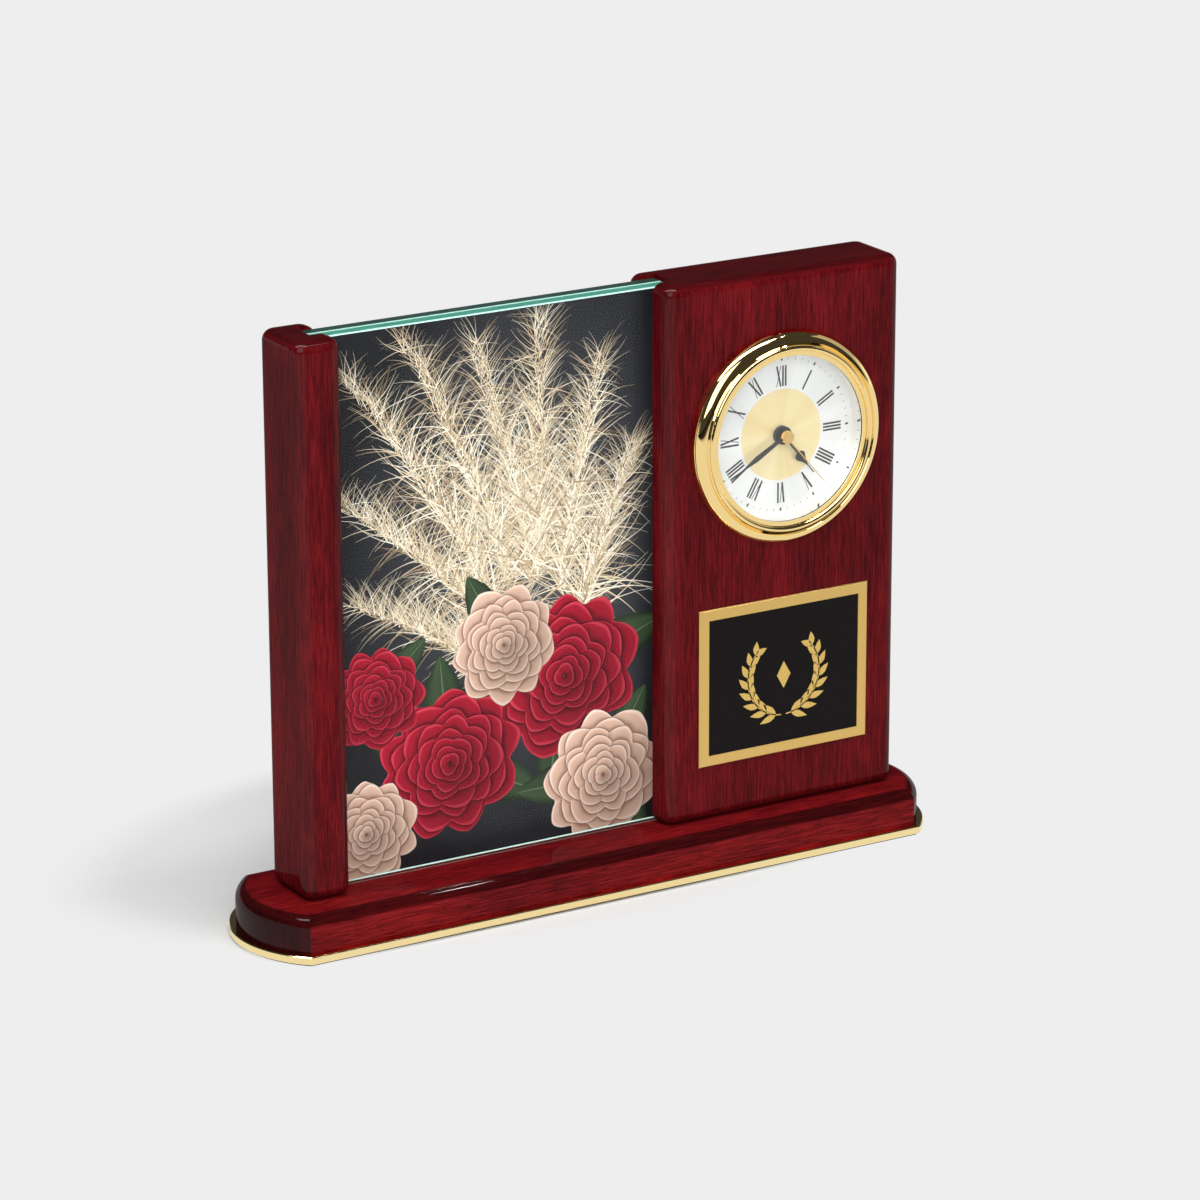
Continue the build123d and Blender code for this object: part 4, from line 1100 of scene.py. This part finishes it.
# Movement: a moulded gear train between two plates, driven by a coil and stator, timed by a quartz
# can on a small laminate board, and fed by one button cell between two spring contacts.
acetal = moulded_plastic("natural_acetal", "#dcd8cc", "#eeebe2", 0.4, 0.4 * MM)
dress(acetal, "rotor", "intermediate_wheel", "seconds_wheel", "third_wheel", "centre_wheel")
dress(acetal, "minute_pinion", "motion_wheel", "hour_wheel", "setting_stem")
polycarbonate = moulded_plastic("grey_polycarbonate", "#3a3d42", "#484b50", 0.4, 0.4 * MM)
dress(polycarbonate, "train_plate", "back_plate")
dress(plated_steel("soft_iron_laminations", "#8d8a86", 0.35), "stator", "coil_core")
nickel = plated_steel("nickel_plated_can", "#d4d2cc", 0.18)
dress(nickel, "quartz_crystal", "battery_cell", "contact_negative", "contact_positive")
dress(zinc_steel, *[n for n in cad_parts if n.startswith("movement_screws")])


def enamelled_wire():
    """A winding of enamelled copper wire: close fine turns round the core, with a warm shine.
    Each turn's colour is painted shade in its groove and a painted highlight on its crown.
    """
    material, tree = bare_material("enamelled_copper_wire")
    turns = add_node(
        tree,
        "ShaderNodeTexWave",
        {"Vector": cells_of(tree, (0.18 * MM,) * 3), "Scale": 0.3, "Distortion": 0.2},
    ).outputs["Fac"]
    relief = add_node(tree, "ShaderNodeBump", {"Height": turns, "Distance": 0.05 * MM})
    # Painted shade and highlight: dark brown in the grooves, bright copper on the crowns.
    return surface(
        material,
        {
            "Base Color": graded(tree, turns, (0.1, "#7a3618"), (0.9, "#d07a42")),
            "Metallic": 0.9,
            "Roughness": 0.3,
            "Normal": relief.outputs["Normal"],
        },
    )


def board_laminate():
    """Green solder mask over glass cloth, with the weave just showing."""
    material, tree = bare_material("solder_masked_laminate")
    weave = add_node(
        tree,
        "ShaderNodeTexChecker",
        {"Vector": cells_of(tree, (0.4 * MM,) * 3), "Scale": 1.0},
    ).outputs["Fac"]
    tint = graded(tree, weave, (0.0, "#1d5130"), (1.0, "#24603a"))
    return surface(material, {"Base Color": tint, "Roughness": 0.35})


dress(enamelled_wire(), "coil")
dress(board_laminate(), "circuit_board")

# Hands: hour and minute hands stamped from thin brass and lacquered black, and a gilt second hand
# pressed on the seconds shaft under a flat gold cap.


def black_lacquer():
    """Thin black lacquer on stamped metal: dark, with a satin gleam at the edges."""
    material, tree = bare_material("black_hand_lacquer")
    tint = graded(tree, mottle(tree, (0.6 * MM,) * 3, 3.0), (0.2, "#1c1918"), (0.8, "#2a2624"))
    return surface(material, {"Base Color": tint, "Metallic": 0.3, "Roughness": 0.32})


dress(black_lacquer(), "hour_hand", "minute_hand")
dress(polished_gold("gilt_second_hand", "#e9c276", 0.12, 0.22), "second_hand")

# Studio: a sheet of pale paper that turns into an even background away from the clock and ends in
# front of it, soft boxes above and around, a dim room, and the camera at the photo's angle.
scene = bpy.context.scene
scene.view_settings.view_transform = "Standard"


def shown_pale(tree, where):
    """1 for what the camera sees, straight or through glass, and for what is mirrored from where."""
    path = add_node(tree, "ShaderNodeLightPath").outputs
    mirrored = add_node(
        tree, "ShaderNodeMath", {0: path["Is Glossy Ray"], 1: where}, operation="MULTIPLY"
    ).outputs[0]
    looked_at = add_node(
        tree,
        "ShaderNodeMath",
        {0: path["Is Camera Ray"], 1: path["Is Transmission Ray"]},
        operation="MAXIMUM",
    ).outputs[0]
    return add_node(tree, "ShaderNodeMath", {0: looked_at, 1: mirrored}, operation="MAXIMUM").outputs[0]


def pale_floor():
    """White paper under the clock, with its shadow, fading to an even pale ground further off.

    Towards the front the paper ends on a dark floor, which the lacquer and the gold mirror.
    """
    material, tree = bare_material("pale_paper_floor")
    shadow_shape, shadow_centre = (1.0, 0.62, 1.0), (-0.012, 0.05, 0.0)
    shadow_ends, ground_starts = 0.118, 0.158
    paper_ends, paper_starts = -1.0, -0.6
    distance = add_node(
        tree,
        "ShaderNodeVectorMath",
        {0: cells_of(tree, shadow_shape, shadow_centre)},
        operation="LENGTH",
    ).outputs["Value"]
    far = add_node(
        tree,
        "ShaderNodeMapRange",
        {"Value": distance, "From Min": shadow_ends, "From Max": ground_starts},
        interpolation_type="SMOOTHSTEP",
    ).outputs["Result"]
    depth = sides_of(tree, "Object")["Y"]
    on_sheet = add_node(
        tree, "ShaderNodeMapRange", {"Value": depth, "From Min": paper_ends, "From Max": paper_starts}
    ).outputs["Result"]
    even = add_node(
        tree, "ShaderNodeMath", {0: far, 1: shown_pale(tree, on_sheet)}, operation="MULTIPLY"
    ).outputs[0]
    paper = add_node(
        tree,
        "ShaderNodeBsdfDiffuse",
        {"Color": graded(tree, on_sheet, (0.0, "#2c2c2c"), (1.0, "#d8d8d8"))},
    )
    ground = add_node(tree, "ShaderNodeEmission", {"Color": hex_colour("#eeeeee")})
    return surface(
        material,
        add_node(tree, "ShaderNodeMixShader", {0: even, 1: paper.outputs[0], 2: ground.outputs[0]}),
    )


def fill_floor(work):
    """A wide square floor."""
    bmesh.ops.create_grid(work, x_segments=1, y_segments=1, size=6.0)


floor_mesh = mesh_from("floor", fill_floor)
floor_mesh.materials.append(pale_floor())
floor = bpy.data.objects.new("floor", floor_mesh)
scene.collection.objects.link(floor)


def soft_box(name, place, aim, size, watts, mirrored=True):
    """A rectangular soft light at a place, turned to its aim; one not mirrored only fills."""
    lamp = bpy.data.lights.new(name, "AREA")
    lamp.shape = "RECTANGLE"
    lamp.size, lamp.size_y = size
    lamp.energy = watts
    holder = bpy.data.objects.new(name, lamp)
    scene.collection.objects.link(holder)
    holder.location = place
    holder.rotation_euler = (Vector(aim) - Vector(place)).to_track_quat("-Z", "Y").to_euler()
    holder.visible_glossy = mirrored


soft_box("overhead_strip", (-0.21, -0.24, 1.2), (-0.1, -0.02, 0.1), (1.4, 0.3), 12.5)
soft_box("front_wall", (-0.3, -2.4, 1.0), (0.0, 0.0, 0.2), (4.0, 1.8), 44.0, mirrored=False)
soft_box("key_box", (-0.7, -0.9, 0.85), (0.0, 0.0, 0.1), (0.9, 1.0), 8.0)
soft_box("side_wall", (1.7, -0.35, 0.65), (0.05, 0.0, 0.14), (1.0, 1.3), 1.8)
soft_box("back_wall", (0.5, 2.3, 1.1), (0.0, 0.0, 0.1), (3.6, 1.6), 20.0, mirrored=False)
soft_box("edge_light", (0.568, -0.388, 1.2), (-0.1, 0.0, 0.1), (0.03, 0.03), 0.7)


def studio_room():
    """A dim room: the wall behind the clock is pale, and the ceiling and the near side are dark."""
    room = bpy.data.worlds.new("studio_room")
    room.use_nodes = True
    tree = room.node_tree
    tree.nodes.clear()
    wall_starts, wall_full = -0.35, -0.05
    foot_full, foot_ends = 0.05, 0.2
    look = sides_of(tree, "Generated")
    behind = add_node(
        tree, "ShaderNodeMapRange", {"Value": look["Y"], "From Min": wall_starts, "From Max": wall_full}
    ).outputs["Result"]
    low = add_node(
        tree, "ShaderNodeMapRange", {"Value": look["Z"], "From Min": foot_ends, "From Max": foot_full}
    ).outputs["Result"]
    foot = add_node(tree, "ShaderNodeMath", {0: behind, 1: low}, operation="MULTIPLY").outputs[0]
    wall = graded(tree, look["Z"], (0.35, "#eeeeee"), (0.62, "#484848"))
    fill = add_node(tree, "ShaderNodeBackground", {"Color": hex_colour("#ffffff"), "Strength": 0.05})
    view = add_node(tree, "ShaderNodeBackground", {"Color": wall})
    both = add_node(
        tree,
        "ShaderNodeMixShader",
        {0: shown_pale(tree, foot), 1: fill.outputs[0], 2: view.outputs[0]},
    )
    add_node(tree, "ShaderNodeOutputWorld", {"Surface": both.outputs[0]})
    return room


scene.world = studio_room()

view_azimuth, view_elevation, view_roll = (math.radians(a) for a in (-30.554, 17.870, -0.180))
view_target = Vector((5.878 * MM, 0.0, 92.190 * MM))
view_distance = 1600.4 * MM
lens = bpy.data.cameras.new("photo_camera")
lens.sensor_width = 36.0
lens.lens = 151.16
lens.clip_end = 20.0
camera = bpy.data.objects.new("photo_camera", lens)
scene.collection.objects.link(camera)
camera.matrix_world = (
    Matrix.Translation(view_target)
    @ Matrix.Rotation(view_azimuth, 4, "Z")
    @ Matrix.Rotation(math.radians(90) - view_elevation, 4, "X")
    @ Matrix.Rotation(view_roll, 4, "Z")
    @ Matrix.Translation((0, 0, view_distance))
)
scene.camera = camera
